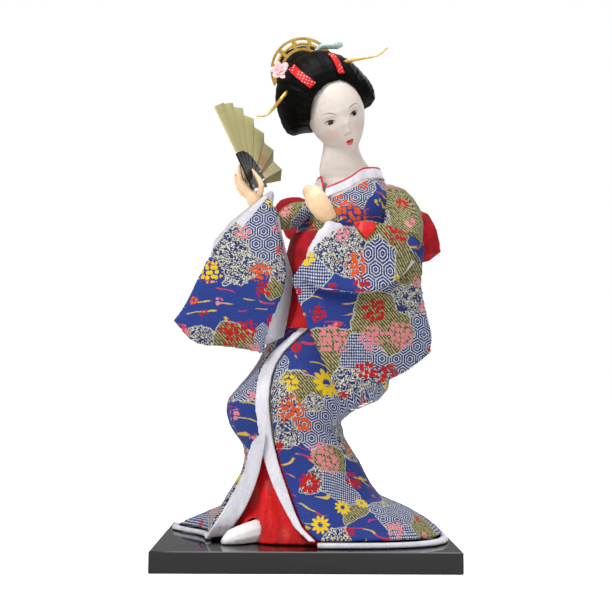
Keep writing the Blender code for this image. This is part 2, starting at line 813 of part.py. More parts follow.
def make_core():
    """The padded body that the clothes are wrapped on, with sockets for the legs and the neck."""
    rings = []
    for height in arc(CORE_BOTTOM, CORE_TOP, 18):
        rings.append([on_form(a, height, -CORE_INSET) for a in arc(0, math.tau, 25)[:-1]])
    core = loft("padded_body", rings, "padding")
    for label, (x, y) in (("front", FRONT_POST), ("rear", REAR_POST)):
        top = BOARD_THICKNESS + POST_HEIGHT + GAP
        cut(core, rod(f"{label}_leg_socket", (x, y, 0.03), (x, y, top), POST_RADIUS + GAP, "padding", 12))
    x, y = NECK[0][1:3]
    top = BOARD_THICKNESS + NECK[0][0]
    bottom = top - PEG_LENGTH - GAP
    socket = rod("neck_socket", (x, y, bottom), (x, y, top + PEG_LENGTH), PEG_RADIUS + GAP, "padding", 12)
    cut(core, socket)


def make_underskirt():
    """The red satin underskirt, a closed tube about the legs that drapes over the front foot."""
    outside, inside = [], []
    for height in arc(UNDERSKIRT[0][0], UNDERSKIRT[-1][0], 7):
        angles = arc(0, math.tau, 31)[:-1]
        fold = 0.0006 * (1 - height / UNDERSKIRT[-1][0])
        radii = [table_radius(UNDERSKIRT, a, height) + fold * math.cos(9 * a) for a in angles]
        outside.append([on_axis(a, height, r) for a, r in zip(angles, radii)])
        inside.append([on_axis(a, height, r - SATIN) for a, r in zip(angles, radii)])
    skirt = shell("red_underskirt", outside, inside, "red_satin", ring=True)
    cut(skirt, loft("foot_clearance", foot_rings(FRONT_POST, FRONT_TURN, grow=0.0010), "tabi"))


def skirt_angles(height):
    """Start and end angle of the brocade skirt at a height, from the front band round to the left panel."""
    right_edge = smooth_row(FRONT_BAND, height)[1]
    start = front_angle(right_edge + EDGE_GAP, height)
    if height < PANEL_END[-1][0]:
        end = math.radians(smooth_row(PANEL_END, height)[0])
    else:
        left_edge = smooth_row(FRONT_BAND, height)[0]
        low = math.radians(PANEL_END[-1][1])
        last = front_angle(left_edge - EDGE_GAP, height)
        end = low + (last - low) * min(1, (height - PANEL_END[-1][0]) / PANEL_JOIN)
    return start, end + math.tau


SKIRT_ROWS = arc(HEM_HEIGHT + 2 * GAP, SKIRT_TOP, 20)


def make_skirt():
    """The brocade skirt: one wrapped panel from the front band round the back to the left knee."""
    outside, inside = [], []
    for height in SKIRT_ROWS:
        start, end = skirt_angles(height)
        outer_row, inner_row = [], []
        for a in arc(start, end, 28):
            radius = form_radius(a, height)
            inner = radius - BROCADE
            if height < SKIRT_INSIDE[-1][0]:
                inner = min(inner, table_radius(SKIRT_INSIDE, a, height))
            outer_row.append(on_axis(a, height, radius))
            inner_row.append(on_axis(a, height, inner))
        outside.append(outer_row)
        inside.append(inner_row)
    shell("brocade_skirt", outside, inside, "brocade")


def make_front_band():
    """The white satin band down the edge of the outer panel."""
    outside, inside = [], []
    for height in SKIRT_ROWS:
        left, right = smooth_row(FRONT_BAND, height)
        angles = arc(front_angle(left, height), front_angle(right, height), 4)
        outside.append([on_form(a, height) for a in angles])
        inside.append([on_form(a, height, -BROCADE) for a in angles])
    shell("front_edge_band", outside, inside, "white_satin")


def make_hem():
    """The padded white hem that lies on the board all round the skirt."""
    start, end = skirt_angles(0.0)
    outside, inside = [], []
    for height in (GAP, HEM_HEIGHT / 2, HEM_HEIGHT):
        bulge = 0.0006 if height == HEM_HEIGHT / 2 else 0.0
        outside.append([on_form(a, height, bulge) for a in arc(start, end, 44)])
        inside.append([on_form(a, height, -HEM_WIDTH) for a in arc(start, end, 44)])
    shell("padded_hem", outside, inside, "white_satin")


def make_lining_flap():
    """The white lining of the left panel, turned outwards from the knee down to the board."""
    front, back = [], []
    for height in arc(LINING_FLAP[0][0], LINING_FLAP[-1][0], 12):
        end = skirt_angles(height)[1] + LINING_START
        left = on_form(end, height)
        right = Vector((*smooth_row(LINING_FLAP, height), BOARD_THICKNESS + height))
        across = right - left
        normal = Vector((across.y, -across.x, 0)).normalized()
        row = [left + across * t - normal * (LINING_SAG * math.sin(math.pi * t)) for t in arc(0, 1, 7)]
        front.append(row)
        back.append([point - normal * SATIN for point in row])
    shell("white_lining_flap", front, back, "white_satin")


def neckline(angle):
    """Height of the bodice's top edge at an angle about the axis."""
    return smooth_row(NECKLINE, math.degrees(angle) % 360)[0]


def make_bodice():
    """The brocade bodice, from under the obi to the open neckline."""
    outside, inside = [], []
    angles = arc(0, math.tau, RING + 1)[:-1]
    for share in arc(0, 1, 8):
        heights = [BODICE_BOTTOM + (neckline(a) - BODICE_BOTTOM) * share for a in angles]
        outside.append([on_form(a, h) for a, h in zip(angles, heights)])
        inside.append([on_form(a, h, -BROCADE) for a, h in zip(angles, heights)])
    shell("brocade_bodice", outside, inside, "brocade", ring=True)


def make_collar():
    """The white under-collar, crossed at the V, and the red piping along its top edge."""
    start = math.radians(NECKLINE_V)
    angles = arc(start, start + math.tau - 0.10, 29)
    for name, low, high, finish in (
        ("white_under_collar", 0.0, 1.0, "white_satin"),
        ("red_collar_piping", 1.0 + GAP / COLLAR_RISE, 1.0 + (GAP + PIPING_RISE) / COLLAR_RISE, "red_satin"),
    ):
        outside, inside = [], []
        for share in (low, (low + high) / 2, high):
            rise, lean = COLLAR_RISE * share, COLLAR_LEAN * share
            outer_row, inner_row = [], []
            for a in angles:
                height = neckline(a)
                radius = form_radius(a, height) - lean
                outer_row.append(on_axis(a, height, radius) + Vector((0, 0, rise + EDGE_GAP)))
                inner_row.append(on_axis(a, height, radius - SATIN) + Vector((0, 0, rise + EDGE_GAP)))
            outside.append(outer_row)
            inside.append(inner_row)
        shell(name, outside, inside, finish)


def make_obi():
    """The red sash about the waist and the white cord tied over it."""
    angles = arc(0, math.tau, RING + 1)[:-1]
    inner = 2 * GAP
    outer = inner + OBI_CLOTH
    outside = [[on_form(a, h, outer) for a in angles] for h in arc(OBI_BOTTOM, OBI_TOP, 5)]
    inside = [[on_form(a, h, inner) for a in angles] for h in arc(OBI_BOTTOM, OBI_TOP, 5)]
    shell("red_obi", outside, inside, "red_satin", ring=True)
    low, high = CORD_HEIGHT - CORD_HALF_HEIGHT, CORD_HEIGHT + CORD_HALF_HEIGHT
    start = outer + GAP
    outside = [[on_form(a, h, start + CORD_OUTSET) for a in angles] for h in (low, high)]
    inside = [[on_form(a, h, start) for a in angles] for h in (low, high)]
    shell("white_obi_cord", outside, inside, "white_satin", ring=True)


def openness(sleeve, side, t):
    """How far one side of a sleeve is open at a place along it, from 0 to 1."""
    span = sleeve["open"][side]
    if span is None:
        return 0.0
    return max(0.0, min(1.0, (t - span[0]) / 0.12, (span[1] - t) / 0.12))


def sleeve_half(sleeve, u, v):
    """Half the thickness of a sleeve: nothing at a closed side, and a gaping rim at an open one."""
    u, v = max(0.0, min(1.0, u)), max(0.0, min(1.0, v))
    across = openness(sleeve, "left" if u < 0.5 else "right", v)
    along = openness(sleeve, "bottom" if v < 0.5 else "top", u)
    full = 1 - abs(2 * u - 1) ** RIM_POWER * (1 - OPEN_RIM * across)
    full *= 1 - abs(2 * v - 1) ** RIM_POWER * (1 - OPEN_RIM * along)
    low, high = sleeve["half"]
    return (low + (high - low) * v) * max(0.0, full) ** 0.5


def sleeve_point(sleeve, u, v, offset):
    """A point of the sleeve, u across and v up, moved along Y by offset, on its soft folds."""
    bottom, top = path_point(sleeve["bottom"], u), path_point(sleeve["top"], u)
    left, right = path_point(sleeve["left"], v), path_point(sleeve["right"], v)
    corners = (
        Vector(sleeve["bottom"][0]) * (1 - u) * (1 - v)
        + Vector(sleeve["bottom"][-1]) * u * (1 - v)
        + Vector(sleeve["top"][0]) * (1 - u) * v
        + Vector(sleeve["top"][-1]) * u * v
    )
    flat = bottom * (1 - v) + top * v + left * (1 - u) + right * u - corners
    fold = sleeve["crease"] * math.sin(6.0 * v + 3.0 * u - 1.0)
    return flat + Vector((0, offset + fold, 0))


def sleeve_bag(name, sleeve, columns=11, rows=11):
    """A brocade bag with a wall, gathered shut along its closed sides and open along the others."""
    bm = bmesh.new()
    wall_u = SLEEVE_WALL / (Vector(sleeve["bottom"][-1]) - Vector(sleeve["bottom"][0])).length
    wall_v = SLEEVE_WALL / (Vector(sleeve["left"][-1]) - Vector(sleeve["left"][0])).length
    thin = 1 - SLEEVE_WALL / max(sleeve["half"])
    points = {}
    for i in range(columns + 1):
        for j in range(rows + 1):
            u, v = i / columns, j / rows
            half = sleeve_half(sleeve, u, v)
            inner_u, inner_v = wall_u + (1 - 2 * wall_u) * u, wall_v + (1 - 2 * wall_v) * v
            for layer, (a, b, depth) in enumerate(((u, v, half), (inner_u, inner_v, half * thin))):
                if half < 1e-6:
                    shared = bm.verts.new(sleeve_point(sleeve, a, b, 0.0))
                    points[layer, -1, i, j] = points[layer, 1, i, j] = shared
                else:
                    for side in (-1, 1):
                        points[layer, side, i, j] = bm.verts.new(sleeve_point(sleeve, a, b, side * depth))
    for layer in (0, 1):
        for side in (-1, 1):
            for i in range(columns):
                for j in range(rows):
                    corners = ((0, 0), (1, 0), (1, 1), (0, 1))
                    bm.faces.new([points[layer, side, i + a, j + b] for a, b in corners])
    rim = [((i, j), (i + 1, j)) for i in range(columns) for j in (0, rows)]
    rim += [((i, j), (i, j + 1)) for j in range(rows) for i in (0, columns)]
    for one, two in rim:
        if points[0, -1, *one] is points[0, 1, *one] and points[0, -1, *two] is points[0, 1, *two]:
            continue
        for side in (-1, 1):
            near, far = points[0, side, *one], points[0, side, *two]
            loop = (near, far, points[1, side, *two], points[1, side, *one])
            bm.faces.new(loop)
    return add_object(name, bm, "brocade")


def sleeve_lining(name, sleeve, columns=9, rows=9):
    """The white inner sleeve, a flat closed bag that shows past the open sides."""
    bm = bmesh.new()
    u0, u1, v0, v1 = sleeve["lining"]
    thin = (1 - (SLEEVE_WALL + 3 * GAP) / max(sleeve["half"])) * 0.9
    points = {}
    for i in range(columns + 1):
        for j in range(rows + 1):
            u = u0 + (u1 - u0) * i / columns
            v = v0 + (v1 - v0) * j / rows
            up = sleeve["peek"][1] * openness(sleeve, "top", u) * max(0.0, 2 * v - 1) ** 2
            left = sleeve["peek"][0] * openness(sleeve, "left", v) * max(0.0, 1 - 2 * u) ** 2
            right = sleeve["peek"][2] * openness(sleeve, "right", v) * max(0.0, 2 * u - 1) ** 2
            u += right - left
            v += up
            rim = i in (0, columns) or j in (0, rows)
            if rim:
                points[-1, i, j] = points[1, i, j] = bm.verts.new(sleeve_point(sleeve, u, v, 0.0))
                continue
            own = (1 - abs(2 * i / columns - 1) ** RIM_POWER) * (1 - abs(2 * j / rows - 1) ** RIM_POWER)
            half = sleeve_half(sleeve, u, v) * thin * own**0.5
            for side in (-1, 1):
                points[side, i, j] = bm.verts.new(sleeve_point(sleeve, u, v, side * max(half, 0.0002)))
    for side in (-1, 1):
        for i in range(columns):
            for j in range(rows):
                bm.faces.new([points[side, i + a, j + b] for a, b in ((0, 0), (1, 0), (1, 1), (0, 1))])
    return add_object(name, bm, "white_satin")


def form_room(name, low, high, outset):
    """The dressed form with a clearance, from one height to another, to cut what is set against it."""
    heights = [low, *[h for h in arc(0.110, 0.216, 11) if low < h < high], high]
    rings = []
    for height in heights:
        rise = Vector((0, 0, max(0.0, height - FORM[-1][0])))
        ring = [on_form(a, min(height, FORM[-1][0]), outset) + rise for a in arc(0, math.tau, RING + 1)[:-1]]
        rings.append(ring)
    return loft(name, rings, "brocade")


def hand_room(label, name):
    """The space that a wrist takes out of its sleeve."""
    path, radii = (FAN_PALM, FAN_PALM_RADII) if label == "right" else (CHEST_PALM, CHEST_PALM_RADII)
    grown = [radius + WRIST_ROOM for radius in radii]
    down = Vector(path[0]) - (Vector(path[1]) - Vector(path[0])) * 0.15
    steps, sides = (6, 14) if label == "right" else (10, 16)
    facing = (0, 1, 0.2) if label == "right" else (0.2, 1, 0.3)
    path = (tuple(down), *path[1:])
    return tube(f"{name}_hand_room", path, grown, "skin", steps, sides, PALM_FLATNESS, facing)


def sleeve_room(name, sleeve):
    """The whole hanging sleeve with a clearance, to cut the upper sleeve that ends on it."""
    grown = dict(sleeve, half=[half + 1.5 * GAP for half in sleeve["half"]])
    return flat_bag(name, grown, "brocade", 11, 11)


def make_sleeves():
    """Both hanging sleeves with their white inner sleeves, and the brocade over each upper arm."""
    for label, sleeve, arm, radii in (
        ("right", RIGHT_SLEEVE, RIGHT_ARM, RIGHT_ARM_RADII),
        ("left", LEFT_SLEEVE, LEFT_ARM, LEFT_ARM_RADII),
    ):
        bag = sleeve_bag(f"{label}_sleeve", sleeve)
        lining = sleeve_lining(f"{label}_inner_sleeve", sleeve)
        for piece in (bag, lining):
            cut(piece, hand_room(label, piece.name))
        upper = tube(f"{label}_upper_sleeve", arm, radii, "brocade", 8, 14)
        cut(upper, form_room(f"{label}_shoulder_room", 0.150, 0.232, EDGE_GAP))
        cut(upper, form_room(f"{label}_obi_room", 0.110, OBI_TOP + GAP, OBI_CLOTH + 3 * GAP))
        cut(upper, sleeve_room(f"{label}_sleeve_room", sleeve))


def flat_bag(name, sleeve, finish, columns=8, rows=8):
    """A closed soft loop over a four-sided outline."""
    bm = bmesh.new()
    points = {}
    for i in range(columns + 1):
        for j in range(rows + 1):
            u, v = i / columns, j / rows
            half = sleeve_half(sleeve, u, v)
            if i in (0, columns) or j in (0, rows):
                points[-1, i, j] = points[1, i, j] = bm.verts.new(sleeve_point(sleeve, u, v, 0.0))
                continue
            for side in (-1, 1):
                points[side, i, j] = bm.verts.new(sleeve_point(sleeve, u, v, side * half))
    for side in (-1, 1):
        for i in range(columns):
            for j in range(rows):
                bm.faces.new([points[side, i + a, j + b] for a, b in ((0, 0), (1, 0), (1, 1), (0, 1))])
    return add_object(name, bm, finish)


def band_rings(grow=0.0):
    """Rings of the band round the bow's middle."""
    rings = []
    for share, size in ((-1.0, 0.72), (-0.85, 0.95), (0.0, 1.0), (0.85, 0.95), (1.0, 0.72)):
        centre = (KNOT_BOX[0], KNOT_BOX[1], KNOT_BOX[2] + (KNOT_REACH[2] + grow) * share)
        across, along = KNOT_REACH[0] * size + grow, KNOT_REACH[1] * size + grow
        rings.append(oval(centre, (across, 0, 0), (0, along, 0), 14, 3.0))
    return rings


def make_bow():
    """The big bow of the obi: two loops, the band round their middle and two tails."""
    flat_bag("bow_left_loop", BOW_LEFT, "red_satin")
    flat_bag("bow_right_loop", BOW_RIGHT, "red_satin")
    band = loft("bow_middle_band", band_rings(), "red_satin")
    cut(band, form_room("band_obi_room", 0.110, OBI_TOP + GAP, OBI_CLOTH + 3 * GAP))
    cut(band, form_room("band_back_room", 0.150, 0.220, EDGE_GAP))
    for label, path, half in BOW_TAILS:
        tail = tube(f"bow_{label}_tail", path, (half * 0.6, half, half), "red_satin", 6, 12, TAIL_FLATNESS)
        cut(tail, loft(f"{label}_tail_room", band_rings(GAP), "red_satin"))
        cut(tail, form_room(f"{label}_tail_obi_room", 0.110, OBI_TOP + GAP, OBI_CLOTH + 3 * GAP))


def make_hands():
    """The hand that holds the fan and the hand at the breast, each moulded in one piece."""
    hand = tube("fan_hand", FAN_PALM, FAN_PALM_RADII, "skin", 6, 14, PALM_FLATNESS, (0, 1, 0.2))
    for i, (path, radius) in enumerate(FAN_FINGERS):
        radii = (radius * 1.1, radius * 1.1, radius, radius * 0.6)
        join(hand, tube(f"finger_{i + 1}", path, radii, "skin", 6, 8, 1.0, (0.3, 1, 0.3)))
    tube("breast_hand", CHEST_PALM, CHEST_PALM_RADII, "skin", 10, 16, PALM_FLATNESS, (0.2, 1, 0.3))


def head_matrix():
    """Places the head or its hair: turned to its left, leaning and nodding."""
    turn = Matrix.Rotation(math.radians(HEAD_TURN), 4, "Z")
    lean = Matrix.Rotation(math.radians(-HEAD_LEAN), 4, "Y")
    nod = Matrix.Rotation(math.radians(HEAD_NOD), 4, "X")
    return Matrix.Translation(HEAD_CENTRE) @ lean @ turn @ nod


def head_point(azimuth, elevation, grow=0.0):
    """A point of the head, azimuth from its face, with a narrower jaw and a chin."""
    c, s = math.cos(elevation), math.sin(elevation)
    x, y, z = math.sin(azimuth) * c, -math.cos(azimuth) * c, s
    jaw = max(0.0, -z)
    narrow = 1 - 0.26 * jaw**1.5
    px = (HEAD_HALF_WIDTH + grow) * x * narrow
    py = (HEAD_HALF_DEPTH + grow) * y * (1 - 0.18 * jaw if y < 0 else 1 - 0.35 * jaw)
    pz = (HEAD_HALF_HEIGHT + grow) * z * (0.94 if z < 0 else 0.98)
    if y < 0 and grow == 0.0:
        nose = math.exp(-((px / 0.0026) ** 2) - (((pz + 0.0105) / 0.0042) ** 2))
        chin = math.exp(-((px / 0.0045) ** 2) - (((pz + 0.0215) / 0.0040) ** 2))
        py -= 0.0022 * nose + 0.0010 * chin
    return Vector((px, py, pz))


def globe(name, point, finish, columns=24, rows=14, place=None):
    """A closed ball whose points come from a function of azimuth and elevation."""
    bm = bmesh.new()
    place = place or Matrix.Identity(4)
    grid = []
    for r in range(1, rows):
        elevation = math.pi * (r / rows - 0.5)
        grid.append([bm.verts.new(place @ point(math.tau * c / columns, elevation)) for c in range(columns)])
    bottom = bm.verts.new(place @ point(0, -math.pi / 2))
    top = bm.verts.new(place @ point(0, math.pi / 2))
    for c in range(columns):
        n = (c + 1) % columns
        bm.faces.new((bottom, grid[0][n], grid[0][c]))
        bm.faces.new((top, grid[-1][c], grid[-1][n]))
        for low, high in zip(grid, grid[1:]):
            bm.faces.new((low[c], low[n], high[n], high[c]))
    return add_object(name, bm, finish)


def neck_rings(grow=0.0, sides=20):
    """Rings of the neck and breast plate."""
    rings = []
    for height in arc(NECK[0][0], NECK[-1][0], 12):
        x, y, across, along = smooth_row(NECK, height)
        z = BOARD_THICKNESS + height
        rings.append(oval((x, y, z), (across + grow, 0, 0), (0, along + grow, 0), sides))
    return rings


def make_head():
    """The moulded head, neck and breast plate with the peg under it, in one piece."""
    head = globe("head_and_neck", head_point, "face", 28, 18, head_matrix())
    join(head, loft("neck_part", neck_rings(), "face"))
    x, y = NECK[0][1:3]
    top = BOARD_THICKNESS + NECK[0][0]
    join(head, rod("neck_peg", (x, y, top - PEG_LENGTH), (x, y, top + PEG_RISE), PEG_RADIUS, "face", 12))


def between(path, t):
    """The place at t along a bow through three places."""
    first, middle, last = path
    return [
        a * (1 - t) * (1 - 2 * t) + 4 * b * t * (1 - t) + c * t * (2 * t - 1)
        for a, b, c in zip(first, middle, last)
    ]


def hair_point(azimuth, elevation, grow=0.0):
    """A point of the dressed hair: a high cap with a wing swept out and down at each side."""
    c, s = math.cos(elevation), math.sin(elevation)
    x, y, z = math.sin(azimuth) * c, -math.cos(azimuth) * c, s
    side = "right" if x < 0 else "left"
    outward, upward, along = (abs(x) - 0.85) / 0.30, (z + WING_START) / 0.45, (y + 0.05) / 0.55
    wing = math.exp(-(outward**2) - upward**2 - along**2)
    px = HAIR_CENTRE[0] + (HAIR_HALF[0] + grow) * x + math.copysign(WING_SPREAD[side], x) * wing
    py = HAIR_CENTRE[1] + (HAIR_HALF[1] + grow) * y
    pz = HAIR_CENTRE[2] + (HAIR_HALF[2] + grow) * z - WING_DROP[side] * wing
    if z < 0:
        pz += (HAIR_LIFT - FRONT_LIFT * y) * HAIR_HALF[2] * z * z * (1 - wing)
    return Vector((px, py, pz))


def make_hair():
    """The black wig: the cap with its two wings, opened for the face."""
    place = head_matrix()
    hair = globe("black_wig", hair_point, "hair", 30, 16, head_matrix())
    cut(hair, globe("head_room", lambda a, e: head_point(a, e, HEAD_ROOM), "hair", 28, 18, place))
    rings = []
    for y in (FACE_FRONT, FACE_BACK):
        rings.append([place @ Vector((x, y, z)) for x, z in FACE_EDGE])
    cut(hair, loft("face_opening", rings, "hair"))
    cut(hair, loft("neck_room", neck_rings(NECK_ROOM), "hair"))


def make_knot():
    """The knot of hair behind the cap, hollowed where the cap fits into it."""
    place = head_matrix() @ Matrix.Translation(KNOT_CENTRE)

    def knot_point(azimuth, elevation):
        c, s = math.cos(elevation), math.sin(elevation)
        across, back = math.sin(azimuth) * c, -math.cos(azimuth) * c
        return Vector((KNOT_HALF[0] * across, KNOT_HALF[1] * back, KNOT_HALF[2] * s))

    knot = globe("hair_knot", knot_point, "hair", 18, 10, place)
    cut(knot, hair_room("knot_room"))


def hair_room(name):
    """The cap's own shape with a clearance, to cut what is set on it."""
    return globe(name, lambda a, e: hair_point(a, e, HEAD_ROOM), "hair", 30, 16, head_matrix())


def make_comb():
    """The gilt openwork comb: rails on an arc with windows between its bars."""
    place = head_matrix() @ Matrix.Translation(COMB_CENTRE) @ Matrix.Rotation(math.radians(COMB_TILT), 4, "X")
    bm = bmesh.new()
    angles, solid = [], []
    for bar in range(COMB_BARS + 1):
        middle = COMB_SPAN[0] + (COMB_SPAN[1] - COMB_SPAN[0]) * bar / COMB_BARS
        half = (COMB_SPAN[1] - COMB_SPAN[0]) / COMB_BARS * COMB_BAR_SHARE / 2
        if bar > 0:
            before = angles[-1]
            for k in (1, 2, 3):
                angles.append(before + (middle - half - before) * k / 3)
                solid.append(False)
        else:
            angles.append(middle - half)
        angles.append(middle + half)
        solid.append(True)
    corners = {}
    for i, angle in enumerate(angles):
        for j, radius in enumerate(COMB_RAILS):
            for k in (0, 1):
                a = math.radians(angle)
                local = Vector((radius * math.cos(a), (k - 0.5) * COMB_THICKNESS, radius * math.sin(a)))
                corners[i, j, k] = bm.verts.new(place @ local)

    def filled(i, j):
        if not (0 <= i < len(angles) - 1 and 0 <= j < len(COMB_RAILS) - 1):
            return False
        return j in (0, 3) or solid[i]

    for i in range(len(angles) - 1):
        for j in range(len(COMB_RAILS) - 1):
            if not filled(i, j):
                continue
            for k in (0, 1):
                bm.faces.new([corners[i + a, j + b, k] for a, b in ((0, 0), (1, 0), (1, 1), (0, 1))])
            for (di, dj), (p, q) in (
                ((-1, 0), ((0, 0), (0, 1))),
                ((1, 0), ((1, 0), (1, 1))),
                ((0, -1), ((0, 0), (1, 0))),
                ((0, 1), ((0, 1), (1, 1))),
            ):
                if not filled(i + di, j + dj):
                    one, two = (i + p[0], j + p[1]), (i + q[0], j + q[1])
                    loop = ((*one, 0), (*two, 0), (*two, 1), (*one, 1))
                    bm.faces.new([corners[at] for at in loop])
    loose = [v for v in bm.verts if not v.link_faces]
    bmesh.ops.delete(bm, geom=loose, context="VERTS")
    cut(add_object("gilt_comb", bm, "gilt"), hair_room("comb_room"))


def make_ornaments():
    """Ribbons, pins, the pink flower and the pale bud in the hair."""
    place = head_matrix()
    for label, path, half in RIBBONS:
        outside, inside = [], []
        for t in arc(0, 1, 9):
            azimuth, elevation = between(path, t)
            ahead = [b - a for a, b in zip(between(path, t - 0.01), between(path, t + 0.01))]
            round_there = math.cos(math.radians(elevation))
            length = math.hypot(ahead[0] * round_there, ahead[1])
            side = (ahead[1] / length / round_there, -ahead[0] * round_there / length)
            rows = []
            for lift in (HEAD_ROOM + RIBBON_THICKNESS, HEAD_ROOM):
                row = []
                for k in (-1, 0, 1):
                    a = math.radians(azimuth + side[0] * half * k)
                    e = math.radians(elevation + side[1] * half * k)
                    row.append(place @ hair_point(a, e, lift))
                rows.append(row)
            outside.append(rows[0])
            inside.append(rows[1])
        shell(f"{label}_hair_ribbon", outside, inside, "red_satin")
    for label, path, radii in PINS:
        points = [tuple(place @ Vector(p)) for p in path]
        tube(f"{label}_hair_pin", points, radii, "gilt", 12, 8)
        hole = tube(f"{label}_pin_hole", points, [r + PIN_GRIP for r in radii], "hair", 12, 8)
        cut(bpy.data.objects["black_wig"], hole)
    spot = Matrix.Translation(place @ Vector(FLOWER_PLACE))
    turn = Matrix.Rotation(math.radians(FLOWER_TURN), 4, "Z")
    face = spot @ turn @ Matrix.Rotation(math.radians(FLOWER_TILT), 4, "X")

    def petal_point(azimuth, elevation):
        out = FLOWER_RADIUS * (0.82 + 0.18 * abs(math.cos(2.5 * azimuth))) * math.cos(elevation)
        return Vector((out * math.sin(azimuth), -out * math.cos(azimuth), FLOWER_HEIGHT * math.sin(elevation)))

    flower = globe("pink_flower", petal_point, "pink", 20, 8, face)
    cut(flower, hair_room("flower_room"))
    bud = tube("pale_bud", [tuple(place @ Vector(p)) for p in ORNAMENT_PATH], ORNAMENT_RADII, "jade", 12, 10)
    cut(bud, hair_room("bud_room"))


def make_fan():
    """The pleated gold leaf, its black ribs and the rivet."""
    rivet, axis, side = Vector(FAN_RIVET), Vector(FAN_AXIS).normalized(), Vector(FAN_SIDE).normalized()
    normal = side.cross(axis).normalized()
    if normal.y > 0:
        normal = -normal
    spread = [math.radians(a) for a in arc(FAN_START, FAN_END, FAN_PLEATS + 1)]

    def ahead(angle):
        return axis * math.cos(angle) + side * math.sin(angle)

    front, back = [], []
    for radius in arc(FAN_LEAF_START, FAN_RADIUS, 3):
        depth = FAN_PLEAT_DEPTH * radius / FAN_RADIUS
        rows = []
        for i, angle in enumerate(spread):
            lift = depth if i % 2 else -depth
            rows.append(rivet + ahead(angle) * radius + normal * lift)
        front.append([p + normal * (FAN_LEAF_THICKNESS / 2) for p in rows])
        back.append([p - normal * (FAN_LEAF_THICKNESS / 2) for p in rows])
    shell("gold_fan_leaf", front, back, "gold_paper")

    step = (spread[-1] - spread[0]) / (RIB_COUNT - 1)
    outline = []
    for i in range(RIB_COUNT):
        angle = spread[0] + step * i
        outline.append(ahead(angle - step * RIB_SHARE / 2) * (FAN_LEAF_START - GAP))
        outline.append(ahead(angle + step * RIB_SHARE / 2) * (FAN_LEAF_START - GAP))
        if i < RIB_COUNT - 1:
            outline.append(ahead(angle + step / 2) * RIB_SPLIT)
    last = spread[-1] + step * RIB_SHARE / 2
    rest = math.tau - (last - spread[0] + step * RIB_SHARE / 2)
    for k in range(1, 10):
        outline.append(ahead(last + rest * k / 10) * FAN_HUB)
    half = normal * (RIB_THICKNESS / 2)
    rings = [[rivet + p - half for p in outline], [rivet + p + half for p in outline]]
    ribs = loft("fan_ribs", rings, "black_rib")
    wide = normal * (RIB_THICKNESS / 2 + GAP)
    room = [[rivet + p * FAN_ROOM - wide for p in outline], [rivet + p * FAN_ROOM + wide for p in outline]]
    cut(bpy.data.objects["fan_hand"], loft("fan_room", room, "skin"))
    cut(ribs, rod("rivet_hole", rivet - normal * 0.003, rivet + normal * 0.003, RIVET_RADIUS + GAP, "steel", 12))
    reach = normal * (RIB_THICKNESS / 2 + RIVET_HEAD)
    rod("fan_rivet", rivet - reach, rivet + reach, RIVET_RADIUS, "steel", 12)


def clear_scene():
    """Removes what the file opened with."""
    for old in list(bpy.data.objects):
        bpy.data.objects.remove(old, do_unlink=True)


def main():
    clear_scene()
    make_board()
    make_legs()
    make_feet()
    make_core()
    make_underskirt()
    make_skirt()
    make_front_band()
    make_hem()
    make_lining_flap()
    make_bodice()
    make_collar()
    make_obi()
    make_bow()
    make_sleeves()
    make_hands()
    make_head()
    make_hair()
    make_knot()
    make_comb()
    make_ornaments()
    make_fan()


main()
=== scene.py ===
"""Dresses the kimono dancer figurine: cloth, hair, face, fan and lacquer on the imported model.

Frames, mesh spacings and the flat sizes of cloth are in metres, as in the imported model. Patterns,
folds, ornaments and the points of the face are in millimetres, as a weaver or a face painter would
measure them.
"""

import logging
import math
from dataclasses import dataclass, field
from enum import Enum

import bmesh
import bpy
import numpy as np
from mathutils import Matrix, Vector


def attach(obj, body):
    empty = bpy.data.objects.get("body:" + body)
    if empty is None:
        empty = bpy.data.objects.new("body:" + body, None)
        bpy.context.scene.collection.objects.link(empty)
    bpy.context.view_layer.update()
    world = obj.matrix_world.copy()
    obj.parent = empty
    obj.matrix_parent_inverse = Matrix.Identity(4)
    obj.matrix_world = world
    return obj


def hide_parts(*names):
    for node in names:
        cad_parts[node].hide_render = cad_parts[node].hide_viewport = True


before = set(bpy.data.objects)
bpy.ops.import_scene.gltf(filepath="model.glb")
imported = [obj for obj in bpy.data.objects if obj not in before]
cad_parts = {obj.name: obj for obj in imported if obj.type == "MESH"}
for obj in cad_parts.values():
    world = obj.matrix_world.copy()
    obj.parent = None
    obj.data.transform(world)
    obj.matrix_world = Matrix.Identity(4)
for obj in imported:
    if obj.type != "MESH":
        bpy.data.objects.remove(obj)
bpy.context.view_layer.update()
log = logging.getLogger("kimono_dancer")

Socket = bpy.types.NodeSocket
Piece = bpy.types.Object

MM = 0.001
MATH = "ShaderNodeMath"
VECTOR_MATH = "ShaderNodeVectorMath"
MIX = "ShaderNodeMix"
NOISE = "ShaderNodeTexNoise"
VORONOI = "ShaderNodeTexVoronoi"
SPREAD = "ShaderNodeMapRange"
ATTRIBUTE = "ShaderNodeAttribute"
FRAMED = "ShaderNodeMapping"
# The settings of a spread whose ends are rounded off
SMOOTH = {"interpolation_type": "SMOOTHSTEP"}
FIELD_KINDS = ("hexagon", "scroll", "meadow", "check", "plain")

# The head's own frame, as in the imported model: -Y looks out of the face, +Z is the crown
HEAD_PLACE = Vector((0.0172, -0.0030, 0.2660))
HEAD_LEAN, HEAD_TURN, HEAD_NOD = (math.radians(a) for a in (-21.5, 6.0, 10.5))
HEAD_FRAME = (
    Matrix.Translation(HEAD_PLACE)
    @ Matrix.Rotation(HEAD_LEAN, 4, "Y")
    @ Matrix.Rotation(HEAD_TURN, 4, "Z")
    @ Matrix.Rotation(HEAD_NOD, 4, "X")
)

